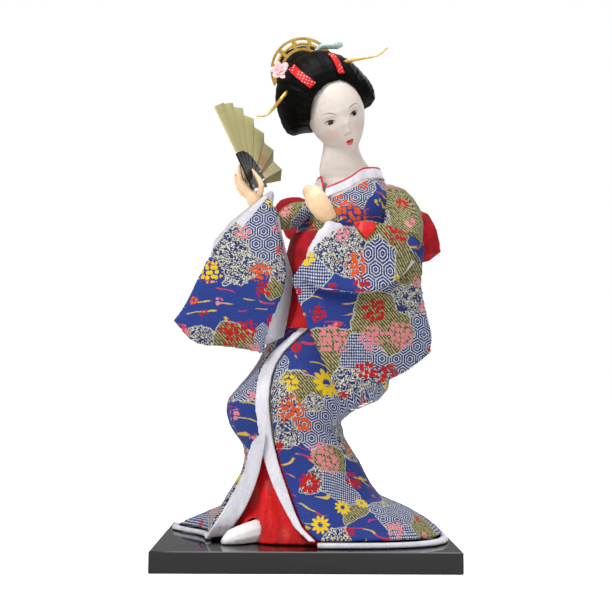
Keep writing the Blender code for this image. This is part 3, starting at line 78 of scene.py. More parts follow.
# The fan's own frame: +Z runs up its first fold, +X is the way that it opens
FAN_RIVET = Vector((-0.0322, -0.0310, 0.2158))
FAN_AXIS = Vector((-0.26, 0.0, 0.965)).normalized()
FAN_SIDE = Vector((0.386, 0.917, 0.104)).normalized()
FAN_TURN = Matrix((FAN_SIDE, FAN_AXIS.cross(FAN_SIDE), FAN_AXIS)).transposed()
FAN_FRAME = Matrix.Translation(FAN_RIVET) @ FAN_TURN.to_4x4()
FAN_START, FAN_SWEEP, FAN_PLEATS = math.radians(-23.0), math.radians(104.0), 14


def linear(code: str) -> tuple[float, float, float, float]:
    """Turns an sRGB hex colour into the linear values that Blender works in.

    Args:
        code: six hex digits after a hash, such as "#2b3f94".

    Returns:
        Red, green, blue and an alpha of one.
    """
    parts = [int(code[i : i + 2], 16) / 255 for i in (1, 3, 5)]
    low_end, offset, gain, power = 0.04045, 0.055, 1.055, 2.4
    return (*[p / 12.92 if p <= low_end else ((p + offset) / gain) ** power for p in parts], 1.0)


@dataclass
class Graph:
    """A node tree that is being built, for a material or for Geometry Nodes."""

    tree: bpy.types.NodeTree

    def add(
        self,
        kind: str,
        *values: object,
        named: dict | None = None,
        output: int | str = 0,
        **settings: object,
    ) -> Socket | bpy.types.Node:
        """Adds one node with its settings and links.

        Args:
            kind: the node's type.
            values: what goes into its sockets in order. A socket is linked, a value or an sRGB hex
                colour is set, and None is passed over.
            named: the same by a socket's name or index.
            output: which of its outputs is handed back.
            settings: the node's own properties.

        Returns:
            The chosen output socket, or the node where it has no output.
        """
        node = self.tree.nodes.new(kind)
        for key, value in settings.items():
            setattr(node, key, value)
        for key, value in [*enumerate(values), *(named or {}).items()]:
            if value is None:
                continue
            if isinstance(value, Socket):
                self.tree.links.new(value, node.inputs[key])
            else:
                node.inputs[key].default_value = linear(value) if isinstance(value, str) else value
        return node.outputs[output] if node.outputs else node

    def layered(self, ground: object, *layers: tuple[object, object]) -> Socket:
        """Lays colours over a ground, one after another.

        Args:
            ground: the colour below, as a socket or a hex colour.
            layers: for each, its mask and its colour.

        Returns:
            The colour's socket.
        """
        for mask, colour in layers:
            ground = self.add(MIX, named={0: mask, 6: ground, 7: colour}, output=2, data_type="RGBA")
        return ground

    def shaded(
        self, colour: object, roughness: object, relief: tuple | None = None, rest: dict | None = None
    ) -> Socket:
        """The shader that every finish ends in, over a fine relief.

        Args:
            colour: its base colour.
            roughness: how dull it is.
            relief: a height, its size in millimetres and its strength, or None for a smooth surface.
            rest: the shader's other inputs by name.

        Returns:
            The shader's socket.
        """
        bump = None
        if relief:
            height, size, strength = relief
            bump = self.add(
                "ShaderNodeBump", named={"Strength": strength, "Distance": size * MM, "Height": height}
            )
        base = {"Base Color": colour, "Normal": bump, "Roughness": roughness}
        return self.add("ShaderNodeBsdfPrincipled", named={**base, **(rest or {})})


class Finish:
    """What every finish shares: a material with one Principled shader on a fresh tree."""

    name: str

    def material(self) -> bpy.types.Material:
        """Makes the material the first time, and finds it again after that.

        Returns:
            The material.
        """
        found = bpy.data.materials.get(self.name)
        if found:
            return found
        made = bpy.data.materials.new(self.name)
        made.use_nodes = True
        made.node_tree.nodes.clear()
        graph = Graph(made.node_tree)
        surface = self.surface(graph)
        graph.add("ShaderNodeOutputMaterial", named={"Surface": surface})
        return made

    def surface(self, graph: Graph) -> Socket:
        """Builds the nodes and returns the shader's output.

        Args:
            graph: the material's tree.

        Returns:
            The shader socket for the material's output.
        """
        raise NotImplementedError


class Grain(Enum):
    """How a plain finish varies over its surface."""

    SPECKLE = "fine even specks"
    SATIN = "long soft streaks with a fine thread"
    CREPE = "short crinkles"
    FIBRE = "grain along one direction"


@dataclass(frozen=True)
class PlainFinish(Finish):
    """A finish of one colour that varies a little, over a fine relief."""

    name: str
    colour: str
    shade: str
    roughness: float
    grain: Grain = Grain.SPECKLE
    grain_mm: float = 0.6
    relief_mm: float = 0.03
    metallic: float = 0.0
    sheen: float = 0.0
    coat: float = 0.0
    subsurface: float = 0.0
    specular: float = 0.5

    def surface(self, graph: Graph) -> Socket:
        """Mixes the colour with its shade over the grain, and raises the relief.

        Args:
            graph: the material's tree.

        Returns:
            The shader's socket.
        """
        place = graph.add("ShaderNodeTexCoord", output="Object")
        upright = {Grain.SATIN: 0.12, Grain.FIBRE: 0.08}.get(self.grain, 1.0)
        scale = [stretch / (self.grain_mm * MM) for stretch in (1.0, 1.0, upright)]
        scaled = graph.add(FRAMED, place, named={"Scale": scale})
        fine = graph.add(NOISE, named={"Vector": scaled, "Scale": 1.0, "Detail": 3.0, "Roughness": 0.6})
        broad = graph.add(NOISE, named={"Vector": scaled, "Scale": 0.11, "Detail": 2.0})
        both = graph.add(MATH, fine, broad, operation="ADD")
        share = graph.add(SPREAD, both, 0.75, 1.25, **SMOOTH)
        colour = graph.layered(self.colour, (share, self.shade))
        height = fine
        if self.grain is Grain.CREPE:
            cells = graph.add(VORONOI, named={"Vector": scaled, "Scale": 0.9}, feature="SMOOTH_F1")
            height = graph.add(MATH, fine, cells, operation="ADD")
        return graph.shaded(
            colour,
            self.roughness,
            (height, self.relief_mm, 1.0),
            {
                "Metallic": self.metallic,
                "Sheen Weight": self.sheen,
                "Sheen Roughness": 0.4,
                "Coat Weight": self.coat,
                "Coat Roughness": 0.06,
                "Subsurface Weight": self.subsurface,
                "Subsurface Radius": (0.004, 0.002, 0.0015),
                "Specular IOR Level": self.specular,
            },
        )


@dataclass(frozen=True)
class PaperFinish(Finish):
    """Matt white studio paper, lit through from below so that it burns out to white."""

    name: str = "matt_white_paper"
    white: str = "#fbfbfb"
    glow: float = 0.9

    def surface(self, graph: Graph) -> Socket:
        """Adds the glow for the camera alone, so that it throws no light on the figurine.

        Args:
            graph: the material's tree.

        Returns:
            The shader's socket.
        """
        seen = graph.add("ShaderNodeLightPath", output="Is Camera Ray")
        place = graph.add("ShaderNodeTexCoord", output="Object")
        fibre = graph.add(NOISE, named={"Vector": place, "Scale": 250.0})
        roughness = graph.add(SPREAD, fibre, 0.0, 1.0, 0.85, 0.95)
        glow = graph.add(SPREAD, seen, 0.0, 1.0, 0.0, self.glow)
        light = {"Emission Color": (1.0, 1.0, 1.0, 1.0), "Emission Strength": glow}
        return graph.shaded(self.white, roughness, rest={"Specular IOR Level": 0.0, **light})


def in_frame(graph: Graph, own: Matrix) -> Socket:
    """The shaded place in millimetres of a frame of its own.

    Args:
        graph: the material's tree.
        own: the frame, in metres.

    Returns:
        A vector socket.
    """
    place = graph.add("ShaderNodeTexCoord", output="Object")
    held = {"Location": own.translation, "Rotation": own.to_euler(), "Scale": (MM, MM, MM)}
    return graph.add(FRAMED, place, named=held, vector_type="TEXTURE")


@dataclass(frozen=True)
class Mark:
    """One painted mark on the face, in millimetres of the head's frame seen from the front.

    A round mark is an oval. Any other is a lens with pointed ends, which may be bent into an arc.
    """

    x: float
    z: float
    half_width: float
    half_height: float
    colour: str
    strength: float = 1.0
    tilt: float = 0.0
    bend: float = 0.0
    soft: float = 0.25
    round: bool = False

    def mask(self, graph: Graph, place: Socket) -> Socket:
        """Builds the mark's mask.

        Args:
            graph: the material's tree.
            place: the place in the head's frame in millimetres.

        Returns:
            A mask that is the mark's strength on it.
        """
        flat = graph.add(VECTOR_MATH, place, (1.0, 0.0, 1.0), operation="MULTIPLY")
        held = {
            "Location": (self.x, 0.0, self.z),
            "Rotation": (0.0, math.radians(-self.tilt), 0.0),
            "Scale": (self.half_width, 1.0, self.half_height),
        }
        own = graph.add(FRAMED, flat, named=held, vector_type="TEXTURE")
        parts = graph.add("ShaderNodeSeparateXYZ", own).node.outputs
        along = graph.add(MATH, parts[0], parts[0], operation="MULTIPLY")
        if self.round:
            up = graph.add(MATH, parts[2], parts[2], operation="MULTIPLY")
        else:
            arch = graph.add(MATH, along, self.bend, -self.bend, operation="MULTIPLY_ADD")
            level = graph.add(MATH, parts[2], arch, operation="ADD")
            up = graph.add(MATH, level, operation="ABSOLUTE")
        reach = graph.add(MATH, along, up, operation="ADD")
        return graph.add(SPREAD, reach, 1.0, 1.0 - self.soft, 0.0, self.strength, **SMOOTH)


@dataclass(frozen=True)
class FaceFinish(Finish):
    """A matt bisque head whose eyes, brows, lips and blush are brushed on, with a painted shadow under the
    nose and a painted highlight on the lower lip.
    """

    name: str = "painted_bisque"
    ground: str = "#e6ddd5"
    shade: str = "#dbd0c7"
    glossy_below: float = 0.6
    marks: tuple[Mark, ...] = (
        Mark(-9.5, -11.0, 6.0, 5.0, "#e3b3a6", 0.34, soft=1.0, round=True),
        Mark(8.0, -11.0, 5.0, 4.6, "#e3b3a6", 0.36, soft=1.0, round=True),
        Mark(-8.6, -2.6, 4.6, 2.2, "#c9aca0", 0.34, -10.0, soft=1.0, round=True),
        Mark(6.6, -2.2, 4.4, 2.2, "#c9aca0", 0.34, 14.0, soft=1.0, round=True),
        # Painted shadow under the nose
        Mark(-0.9, -14.3, 2.6, 0.9, "#b99684", 0.30, soft=1.0, round=True),
        Mark(-8.9, -4.75, 3.4, 1.10, "#cfc6c0", 0.95, -8.0, soft=0.2),
        Mark(6.3, -4.40, 3.4, 1.10, "#cfc6c0", 0.95, 14.0, soft=0.2),
        Mark(-8.5, -4.65, 1.85, 1.30, "#14100e", 1.0, soft=0.5, round=True),
        Mark(6.6, -4.25, 1.80, 1.30, "#14100e", 1.0, soft=0.5, round=True),
        Mark(-8.9, -4.85, 4.0, 0.60, "#1d1412", 1.0, -8.0, 2.6, 0.5),
        Mark(6.3, -4.50, 3.9, 0.60, "#1d1412", 1.0, 14.0, 2.6, 0.5),
        Mark(-8.9, -4.75, 3.2, 0.20, "#6f554b", 0.6, -8.0, -4.8, 0.6),
        Mark(6.3, -4.40, 3.2, 0.20, "#6f554b", 0.6, 14.0, -4.8, 0.6),
        Mark(-8.9, -4.20, 3.4, 0.28, "#9d8578", 0.55, -8.0, 5.0, 0.8),
        Mark(6.4, -3.80, 3.3, 0.28, "#9d8578", 0.55, 14.0, 5.0, 0.8),
        Mark(-8.4, -1.00, 5.5, 0.55, "#6a5d56", 0.85, -21.0, 3.4, 0.8),
        Mark(7.6, -0.40, 5.4, 0.55, "#6a5d56", 0.85, 13.0, 2.6, 0.8),
        Mark(-2.1, -14.2, 0.60, 0.36, "#8f6a5c", 0.6, soft=0.8, round=True),
        Mark(0.8, -14.1, 0.60, 0.36, "#8f6a5c", 0.6, soft=0.8, round=True),
        Mark(-0.2, -19.55, 2.25, 1.30, "#d8503c", 0.95, 2.0, soft=0.35),
        # Painted highlight on the lower lip
        Mark(-0.2, -19.95, 1.1, 0.50, "#f0a18d", 0.55, soft=0.9, round=True),
        Mark(-1.25, -18.25, 1.75, 0.80, "#bf2a20", 1.0, 8.0, soft=0.3),
        Mark(0.95, -18.20, 1.75, 0.80, "#bf2a20", 1.0, -6.0, soft=0.3),
        Mark(-0.2, -18.80, 2.8, 0.24, "#7a1713", 0.9, 2.0, -0.8, 0.5),
    )

    def surface(self, graph: Graph) -> Socket:
        """Paints the marks over the bisque, on the front of the head alone.

        Args:
            graph: the material's tree.

        Returns:
            The shader's socket.
        """
        place = in_frame(graph, HEAD_FRAME)
        cloud = graph.add(NOISE, named={"Vector": place, "Scale": 0.16, "Detail": 3.0})
        colour = graph.layered(self.ground, (cloud, self.shade))
        depth = graph.add("ShaderNodeSeparateXYZ", place).node.outputs[1]
        front = graph.add(SPREAD, depth, -3.0, -5.0)
        wobble = graph.add(NOISE, named={"Vector": place, "Scale": 1.1, "Detail": 2.0}, output="Color")
        shaken = graph.add(VECTOR_MATH, wobble, (0.5, 0.5, 0.5), operation="SUBTRACT")
        shaken = graph.add(VECTOR_MATH, shaken, named={"Scale": 0.16}, operation="SCALE")
        brushed = graph.add(VECTOR_MATH, place, shaken, operation="ADD")
        gloss = None
        for mark in self.marks:
            mask = graph.add(MATH, mark.mask(graph, brushed), front, operation="MULTIPLY")
            colour = graph.layered(colour, (mask, mark.colour))
            if mark.soft < self.glossy_below:
                gloss = mask if gloss is None else graph.add(MATH, gloss, mask, operation="MAXIMUM")
        roughness = graph.add(SPREAD, gloss, 0.0, 1.0, 0.50, 0.30)
        grain = graph.add(NOISE, named={"Vector": place, "Scale": 6.0, "Detail": 2.0})
        depths = {"Subsurface Weight": 0.12, "Subsurface Radius": (0.003, 0.0016, 0.0012)}
        return graph.shaded(colour, roughness, (grain, 0.006, 0.6), {**depths, "Specular IOR Level": 0.35})


@dataclass(frozen=True)
class HairFinish(Finish):
    """Combed acrylic fibre: black strands that run back from the face, with painted grey highlight streaks
    along them.
    """

    name: str = "combed_acrylic_fibre"
    dark: str = "#020202"
    light: str = "#0e0d0d"
    strands: float = 40.0

    def surface(self, graph: Graph) -> Socket:
        """Draws the strands along rays from the middle of the face, with lighter streaks of painted
        highlight along them.

        Args:
            graph: the material's tree.

        Returns:
            The shader's socket.
        """
        place = in_frame(graph, HEAD_FRAME)
        moved = graph.add(VECTOR_MATH, place, (1.0, 0.0, 4.0), operation="ADD")
        parts = graph.add("ShaderNodeSeparateXYZ", moved).node.outputs
        turn = graph.add(MATH, parts[0], parts[2], operation="ARCTAN2")
        flat = graph.add("ShaderNodeCombineXYZ", parts[0], 0.0, parts[2])
        reach = graph.add(VECTOR_MATH, flat, operation="LENGTH", output="Value")
        strand = graph.add(MATH, turn, self.strands, operation="MULTIPLY")
        along = graph.add(MATH, reach, 0.06, operation="MULTIPLY")
        back = graph.add(MATH, parts[1], 0.08, operation="MULTIPLY")
        combed = graph.add("ShaderNodeCombineXYZ", strand, along, back)
        fine = graph.add(NOISE, named={"Vector": combed, "Scale": 1.6, "Detail": 4.0, "Roughness": 0.7})
        broad = graph.add(NOISE, named={"Vector": combed, "Scale": 0.22, "Detail": 2.0})
        # Painted highlight: lighter streaks along the strands stand in for their sheen
        shine = graph.add(MATH, fine, broad, operation="MULTIPLY")
        share = graph.add(SPREAD, shine, 0.22, 0.42)
        colour = graph.layered(self.dark, (share, self.light))
        roughness = graph.add(SPREAD, broad, 0.3, 0.7, 0.60, 0.38)
        return graph.shaded(colour, roughness, (fine, 0.12, 0.9), {"Specular IOR Level": 0.07})


@dataclass(frozen=True)
class RibbonFinish(Finish):
    """Red tie-dyed silk ribbon with rows of small white dots along it."""

    name: str
    slant: float
    colour: str = "#cc0a12"
    dot: str = "#f4e6e2"
    pitch_mm: float = 1.75

    def surface(self, graph: Graph) -> Socket:
        """Lays the dots on a grid that follows the ribbon's slant, thinned out by a noise.

        Args:
            graph: the material's tree.

        Returns:
            The shader's socket.
        """
        place = in_frame(graph, HEAD_FRAME)
        held = {"Rotation": (0.0, math.radians(-self.slant), 0.0)}
        turned = graph.add(FRAMED, place, named=held, vector_type="TEXTURE")
        half = Vector([self.pitch_mm / 2] * 3)
        cell = graph.add(VECTOR_MATH, turned, half, -half, operation="WRAP")
        flat = graph.add(VECTOR_MATH, cell, (1.0, 0.0, 1.0), operation="MULTIPLY")
        reach = graph.add(VECTOR_MATH, flat, operation="LENGTH", output="Value")
        dot = graph.add(SPREAD, reach, 0.38, 0.24, 0.0, 0.9)
        patch = graph.add(NOISE, named={"Vector": turned, "Scale": 0.16, "Detail": 0.0})
        shown = graph.add(SPREAD, patch, 0.42, 0.50)
        mask = graph.add(MATH, dot, shown, operation="MULTIPLY")
        colour = graph.layered(self.colour, (mask, self.dot))
        return graph.shaded(colour, 0.5, (mask, 0.15, 0.8), {"Specular IOR Level": 0.25})


@dataclass(frozen=True)
class FanFinish(Finish):
    """Folded gold paper: straw panels with painted shade on every second pleat, and a rubbed vermilion
    patch.
    """

    name: str = "folded_gold_paper"
    straw: str = "#d3cb93"
    painted_pleat_shade: str = "#857b47"
    vermilion: str = "#b5532c"
    patch_place: tuple[float, float, float] = (26.0, 0.0, 17.0)

    def surface(self, graph: Graph) -> Socket:
        """Paints shade on every second panel and a shaded ramp across each, as if the fold turned it from
        the light.

        Args:
            graph: the material's tree.

        Returns:
            The shader's socket.
        """
        place = in_frame(graph, FAN_FRAME)
        parts = graph.add("ShaderNodeSeparateXYZ", place).node.outputs
        turn = graph.add(MATH, parts[0], parts[2], operation="ARCTAN2")
        panel = graph.add(SPREAD, turn, FAN_START, FAN_START + FAN_SWEEP, 0.0, FAN_PLEATS)
        tooth = graph.add(MATH, panel, 1.0, operation="PINGPONG")
        whole = graph.add(MATH, graph.add(MATH, panel, operation="FLOOR"), 2.0, operation="MODULO")
        # Painted shade: a ramp across each pleat, and every second pleat darker, as if folded away from the
        # light
        shade = graph.add(SPREAD, tooth, 0.0, 1.0, 0.0, 0.35)
        shade = graph.add(MATH, whole, 0.6, shade, operation="MULTIPLY_ADD")
        away = graph.add(VECTOR_MATH, place, self.patch_place, operation="DISTANCE", output="Value")
        rubbed = graph.add(NOISE, named={"Vector": place, "Scale": 0.5, "Detail": 3.0})
        patch = graph.add(SPREAD, away, 4.0, 9.0, 0.8, 0.0)
        patch = graph.add(MATH, patch, rubbed, operation="MULTIPLY")
        colour = graph.layered(self.straw, (shade, self.painted_pleat_shade), (patch, self.vermilion))
        fibre = graph.add(NOISE, named={"Vector": place, "Scale": 3.0, "Detail": 3.0})
        return graph.shaded(colour, 0.5, (fibre, 0.03, 0.5), {"Metallic": 0.25})


@dataclass(frozen=True)
class BrocadeFinish(Finish):
    """Woven brocade: royal blue silk with raised silver, gold and coloured threads.

    The cloth carries a UV map in millimetres, and attributes that say which field a place lies in
    and which flower is nearest. Their edges are cut into steps by the weave.
    """

    name: str = "woven_silk_brocade"
    blue: str = "#2c469f"
    navy: str = "#141d4d"
    silver: str = "#ccd2dd"
    cream: str = "#d9d5bd"
    olive: str = "#3f4030"
    straw: str = "#b3a970"
    lining: str = "#dcdae0"
    gold_stream: str = "#d9b93a"
    red_stream: str = "#d2384a"
    hexagon_mm: float = 8.4
    hexagon_turns: float = 3.0
    check_mm: float = 1.3
    field_sway: float = 0.55
    stream_mm: float = 8.5
    thread_mm: float = 0.62

    def hexagons(self, graph: Graph, cloth: Socket) -> Socket:
        """Nested hexagons, as on a tortoise's shell.

        Args:
            graph: the material's tree.
            cloth: the place on the cloth in millimetres.

        Returns:
            A mask that is one on the silver lines.
        """
        half = Vector((self.hexagon_mm / 2, self.hexagon_mm * math.sqrt(3) / 2, 1.0))
        shifted = graph.add(VECTOR_MATH, cloth, half, operation="ADD")
        cells = [graph.add(VECTOR_MATH, p, half, -half, operation="WRAP") for p in (cloth, shifted)]
        sides = ((0.5, math.sqrt(3) / 2, 0.0), (1.0, 0.0, 0.0))
        reach = []
        for cell in cells:
            flat = graph.add(VECTOR_MATH, cell, (1.0, 1.0, 0.0), operation="MULTIPLY")
            size = graph.add(VECTOR_MATH, flat, operation="ABSOLUTE")
            dot = {"operation": "DOT_PRODUCT", "output": "Value"}
            slant, across = (graph.add(VECTOR_MATH, size, side, **dot) for side in sides)
            reach.append(graph.add(MATH, slant, across, operation="MAXIMUM"))
        ring = graph.add(MATH, *reach, operation="MINIMUM")
        pace = math.tau * self.hexagon_turns / (self.hexagon_mm / 2)
        phase = graph.add(MATH, ring, pace, math.pi / 2, operation="MULTIPLY_ADD")
        wave = graph.add(MATH, phase, operation="SINE")
        return graph.add(SPREAD, wave, 0.15, 0.5, **SMOOTH)

    def scrolls(self, graph: Graph, cloth: Socket) -> Socket:
        """Close white curls: the level lines of a soft noise.

        Args:
            graph: the material's tree.
            cloth: the place on the cloth in millimetres.

        Returns:
            A mask that is one on the curls.
        """
        hills = graph.add(NOISE, named={"Vector": cloth, "Scale": 0.34, "Detail": 1.5, "Roughness": 0.6})
        turns = graph.add(MATH, hills, 34.0, operation="MULTIPLY")
        wave = graph.add(MATH, turns, operation="SINE")
        return graph.add(SPREAD, wave, 0.0, 0.4, **SMOOTH)

    def checks(self, graph: Graph, cloth: Socket, pitch: float) -> Socket:
        """Small slanting checks.

        Args:
            graph: the material's tree.
            cloth: the place on the cloth in millimetres.
            pitch: the distance between checks in millimetres.

        Returns:
            A mask that is one on the checks.
        """
        waves = []
        for direction in ((1.0, 0.8, 0.0), (1.0, -0.8, 0.0)):
            along = graph.add(VECTOR_MATH, cloth, direction, operation="DOT_PRODUCT", output="Value")
            turns = graph.add(MATH, along, math.pi / pitch, operation="MULTIPLY")
            waves.append(graph.add(MATH, turns, operation="SINE"))
        both = graph.add(MATH, *waves, operation="MULTIPLY")
        return graph.add(SPREAD, both, 0.0, 0.3, **SMOOTH)

    def petals(self, graph: Graph, reach: Socket, turn: Socket) -> Socket:
        """One ring of oval petals about a daisy's middle.

        Args:
            graph: the material's tree.
            reach: the distance from the flower's middle, one at its rim.
            turn: the angle round it in radians.

        Returns:
            A mask that is one on the petals.
        """
        count, middle, length, width = 10, 0.62, 0.36, 0.17
        share = math.tau / count
        angle = graph.add(MATH, turn, share / 2, -share / 2, operation="WRAP")
        cosine = graph.add(MATH, angle, operation="COSINE")
        sine = graph.add(MATH, angle, operation="SINE")
        ahead = graph.add(MATH, reach, cosine, operation="MULTIPLY")
        aside = graph.add(MATH, reach, sine, operation="MULTIPLY")
        outward = graph.add(MATH, ahead, 1 / length, -middle / length, operation="MULTIPLY_ADD")
        sideways = graph.add(MATH, aside, 1 / width, operation="MULTIPLY")
        first = graph.add(MATH, outward, 2.0, operation="POWER")
        second = graph.add(MATH, sideways, 2.0, operation="POWER")
        both = graph.add(MATH, first, second, operation="ADD")
        return graph.add(SPREAD, both, 1.25, 0.85, **SMOOTH)

    def flowers(self, graph: Graph, cloth: Socket, ragged: Socket) -> tuple[Socket, Socket, Socket]:
        """The nearest flower's petals, as a daisy or as a loose cluster of round petals.

        Args:
            graph: the material's tree.
            cloth: the place on the cloth in millimetres.
            ragged: a small shift that gives the petals their woven edge.

        Returns:
            The petals' mask, the mask of the flower's middle and its colour.
        """
        spot = graph.add(ATTRIBUTE, attribute_name="flower", output="Vector")
        moved = graph.add(VECTOR_MATH, spot, ragged, operation="ADD")
        parts = graph.add("ShaderNodeSeparateXYZ", moved).node.outputs
        style = graph.add(ATTRIBUTE, attribute_name="flower_style", output="Fac")
        flat = graph.add("ShaderNodeCombineXYZ", parts[0], parts[1], 0.0)
        reach = graph.add(VECTOR_MATH, flat, operation="LENGTH", output="Value")
        turn = graph.add(MATH, parts[1], parts[0], operation="ARCTAN2")
        daisy = self.petals(graph, reach, turn)
        spots = {"Vector": cloth, "Scale": 0.34, "Randomness": 0.6}
        cells = graph.add(VORONOI, named=spots, voronoi_dimensions="2D")
        blob = graph.add(SPREAD, cells, 0.47, 0.40)
        loose = graph.add(NOISE, named={"Vector": cloth, "Scale": 0.35, "Detail": 1.0})
        bounds = graph.add(MATH, loose, 1.3, reach, operation="MULTIPLY_ADD")
        inside = graph.add(SPREAD, bounds, 1.68, 1.62)
        cluster = graph.add(MATH, blob, inside, operation="MULTIPLY")
        mask = graph.add(MIX, named={0: style, 2: daisy, 3: cluster}, output=0)
        middle = graph.add(SPREAD, reach, 0.22, 0.16)
        tint = graph.add(ATTRIBUTE, attribute_name="flower_tint", output="Color")
        return mask, middle, tint

    def streams(self, graph: Graph, cloth: Socket) -> tuple[Socket, Socket]:
        """Thin wavy streams on the plain blue, gold in one place and red in another.

        Args:
            graph: the material's tree.
            cloth: the place on the cloth in millimetres.

        Returns:
            The streams' mask and their colour.
        """
        stretched = graph.add(VECTOR_MATH, cloth, (0.045, 0.09, 0.0), operation="MULTIPLY")
        sway = graph.add(NOISE, named={"Vector": stretched, "Scale": 1.0, "Detail": 1.0})
        level = graph.add(VECTOR_MATH, cloth, (0.10, 1.0, 0.0), operation="DOT_PRODUCT", output="Value")
        height = graph.add(MATH, sway, 26.0, level, operation="MULTIPLY_ADD")
        turns = graph.add(MATH, height, math.tau / self.stream_mm, operation="MULTIPLY")
        wave = graph.add(MATH, turns, operation="SINE")
        line = graph.add(SPREAD, wave, 0.86, 0.95)
        broken = graph.add(NOISE, named={"Vector": stretched, "Scale": 2.3, "Detail": 0.0})
        shown = graph.add(SPREAD, broken, 0.47, 0.52)
        mask = graph.add(MATH, line, shown, operation="MULTIPLY")
        pick = graph.add(NOISE, named={"Vector": stretched, "Scale": 1.1, "Detail": 0.0})
        warm = graph.add(SPREAD, pick, 0.49, 0.52)
        return mask, graph.layered(self.gold_stream, (warm, self.red_stream))

    def surface(self, graph: Graph) -> Socket:
        """Lays the fields, their outlines and the flowers over the blue ground.

        Args:
            graph: the material's tree.

        Returns:
            The shader's socket.
        """
        cloth = graph.add("ShaderNodeUVMap", uv_map="cloth_mm")
        jitter = graph.add(NOISE, named={"Vector": cloth, "Scale": 1.5, "Detail": 1.0}, output="Color")
        centred = graph.add(VECTOR_MATH, jitter, (0.5, 0.5, 0.5), operation="SUBTRACT")
        small = graph.add(VECTOR_MATH, centred, named={"Scale": 0.7}, operation="SCALE")
        woven = graph.add(VECTOR_MATH, cloth, small, operation="ADD")
        slow = graph.add(NOISE, named={"Vector": cloth, "Scale": 0.16, "Detail": 2.0}, output="Color")
        swing = graph.add("ShaderNodeSeparateXYZ", slow).node.outputs
        bent = []
        for i, kind in enumerate(FIELD_KINDS):
            apart = graph.add(ATTRIBUTE, attribute_name=f"field_{kind}", output="Fac")
            sway = self.field_sway if i < 3 else -self.field_sway
            bent.append(graph.add(MATH, swing[i % 3], sway, apart, operation="MULTIPLY_ADD"))
        masks, line = [], None
        for own in bent:
            nearest = None
            for other in bent:
                if other is own:
                    continue
                nearest = other if nearest is None else graph.add(MATH, nearest, other, operation="MINIMUM")
            lead = graph.add(MATH, nearest, own, operation="SUBTRACT")
            masks.append(graph.add(SPREAD, lead, 0.0, 0.02))
            line = lead if line is None else graph.add(MATH, line, lead, operation="MAXIMUM")
        outline = graph.add(SPREAD, line, 0.06, 0.03, 0.0, 0.7)
        shells, curls, meadow, chequer, plain = masks

        mottle = graph.add(NOISE, named={"Vector": cloth, "Scale": 0.9, "Detail": 3.0})
        deep = graph.add(SPREAD, plain, 0.0, 1.0, 0.62, 0.12)
        ground = graph.layered(self.navy, (0.75, self.blue), (deep, self.navy))
        stream, stream_colour = self.streams(graph, woven)
        stream = graph.add(MATH, stream, plain, operation="MULTIPLY")
        hexagon = graph.add(MATH, self.hexagons(graph, woven), shells, operation="MULTIPLY")
        scroll = graph.add(MATH, self.scrolls(graph, woven), curls, operation="MULTIPLY")
        check = graph.add(MATH, self.checks(graph, woven, self.check_mm), chequer, operation="MULTIPLY")
        tufts = graph.add(NOISE, named={"Vector": woven, "Scale": 0.8, "Detail": 2.0})
        tuft = graph.add(SPREAD, tufts, 0.40, 0.46)
        slant = graph.add(VECTOR_MATH, woven, (3.4, 3.0, 0.0), operation="DOT_PRODUCT", output="Value")
        hatch = graph.add(MATH, slant, operation="SINE")
        twill = graph.add(SPREAD, hatch, -0.45, 0.15)
        straw = graph.add(MATH, twill, meadow, operation="MULTIPLY")
        straw = graph.add(MATH, straw, tuft, operation="MULTIPLY")
        ragged = graph.add(VECTOR_MATH, centred, named={"Scale": 0.16}, operation="SCALE")
        petal, middle, tint = self.flowers(graph, woven, ragged)

        layers = (
            (stream, stream_colour),
            (hexagon, self.silver),
            (scroll, self.cream),
            (check, self.silver),
            (meadow, self.olive),
            (straw, self.straw),
            (outline, self.cream),
            (graph.add(MATH, middle, petal, operation="MULTIPLY"), self.navy),
            (petal, tint),
        )
        raised = graph.add(MATH, mottle, 0.2, operation="MULTIPLY")
        for mask, _ in layers:
            raised = graph.add(MATH, mask, raised, operation="MAXIMUM")

        bare = graph.add(ATTRIBUTE, attribute_name="bare_mm", output="Fac")
        bare = graph.add(SPREAD, bare, 0.0, 0.2)
        # Stray threads and gaps in the weave show least on the plain field, the petals and the lining
        calm = graph.add(MATH, plain, petal, operation="MAXIMUM")
        calm = graph.add(MATH, calm, bare, operation="MAXIMUM")
        specks = []
        for scale, low, most, left, thread in (
            (1.9, 0.60, 0.75, 0.12, self.straw),
            (1.6, 0.58, 0.70, 0.10, self.navy),
        ):
            held = {"Vector": cloth, "Scale": scale, "Detail": 2.0, "Roughness": 0.8}
            speck = graph.add(SPREAD, graph.add(NOISE, named=held), low, 0.66, 0.0, most)
            share = graph.add(SPREAD, calm, 0.0, 1.0, 1.0, left)
            specks.append((graph.add(MATH, speck, share, operation="MULTIPLY"), thread))
        colour = graph.layered(ground, *layers, (bare, self.lining), *specks)
        threads = self.checks(graph, cloth, self.thread_mm)
        dark = graph.add(SPREAD, threads, 0.0, 1.0, 0.80, 1.08)
        colour = graph.add(VECTOR_MATH, colour, dark, operation="MULTIPLY")
        height = graph.add(MATH, threads, 0.45, raised, operation="MULTIPLY_ADD")
        rest = {"Sheen Weight": 0.05, "Sheen Roughness": 0.4, "Specular IOR Level": 0.18}
        return graph.shaded(colour, 0.62, (height, 0.14, 0.8), rest)


class Style(Enum):
    """The woven flowers' two shapes."""

    DAISY = 0.0
    CLUSTER = 1.0


DAISY, CLUSTER = Style


@dataclass(frozen=True)
class Flower:
    """One woven flower: where it lies on the front in millimetres, its radius, shape and colour."""

    x: float
    z: float
    size: float
    style: Style
    tint: str


@dataclass(frozen=True)
class Patch:
    """One field of the brocade: where it lies on the front in millimetres, its radius and kind."""

    x: float
    z: float
    size: float
    kind: str


YELLOW, ORANGE, RED, PINK = "#e9c413", "#e4561a", "#bd1118", "#e0838c"
# How often each field turns up where none is listed
WOVEN_SHARE = ("hexagon", "hexagon", "scroll", "scroll", "meadow", "meadow", "plain", "check")


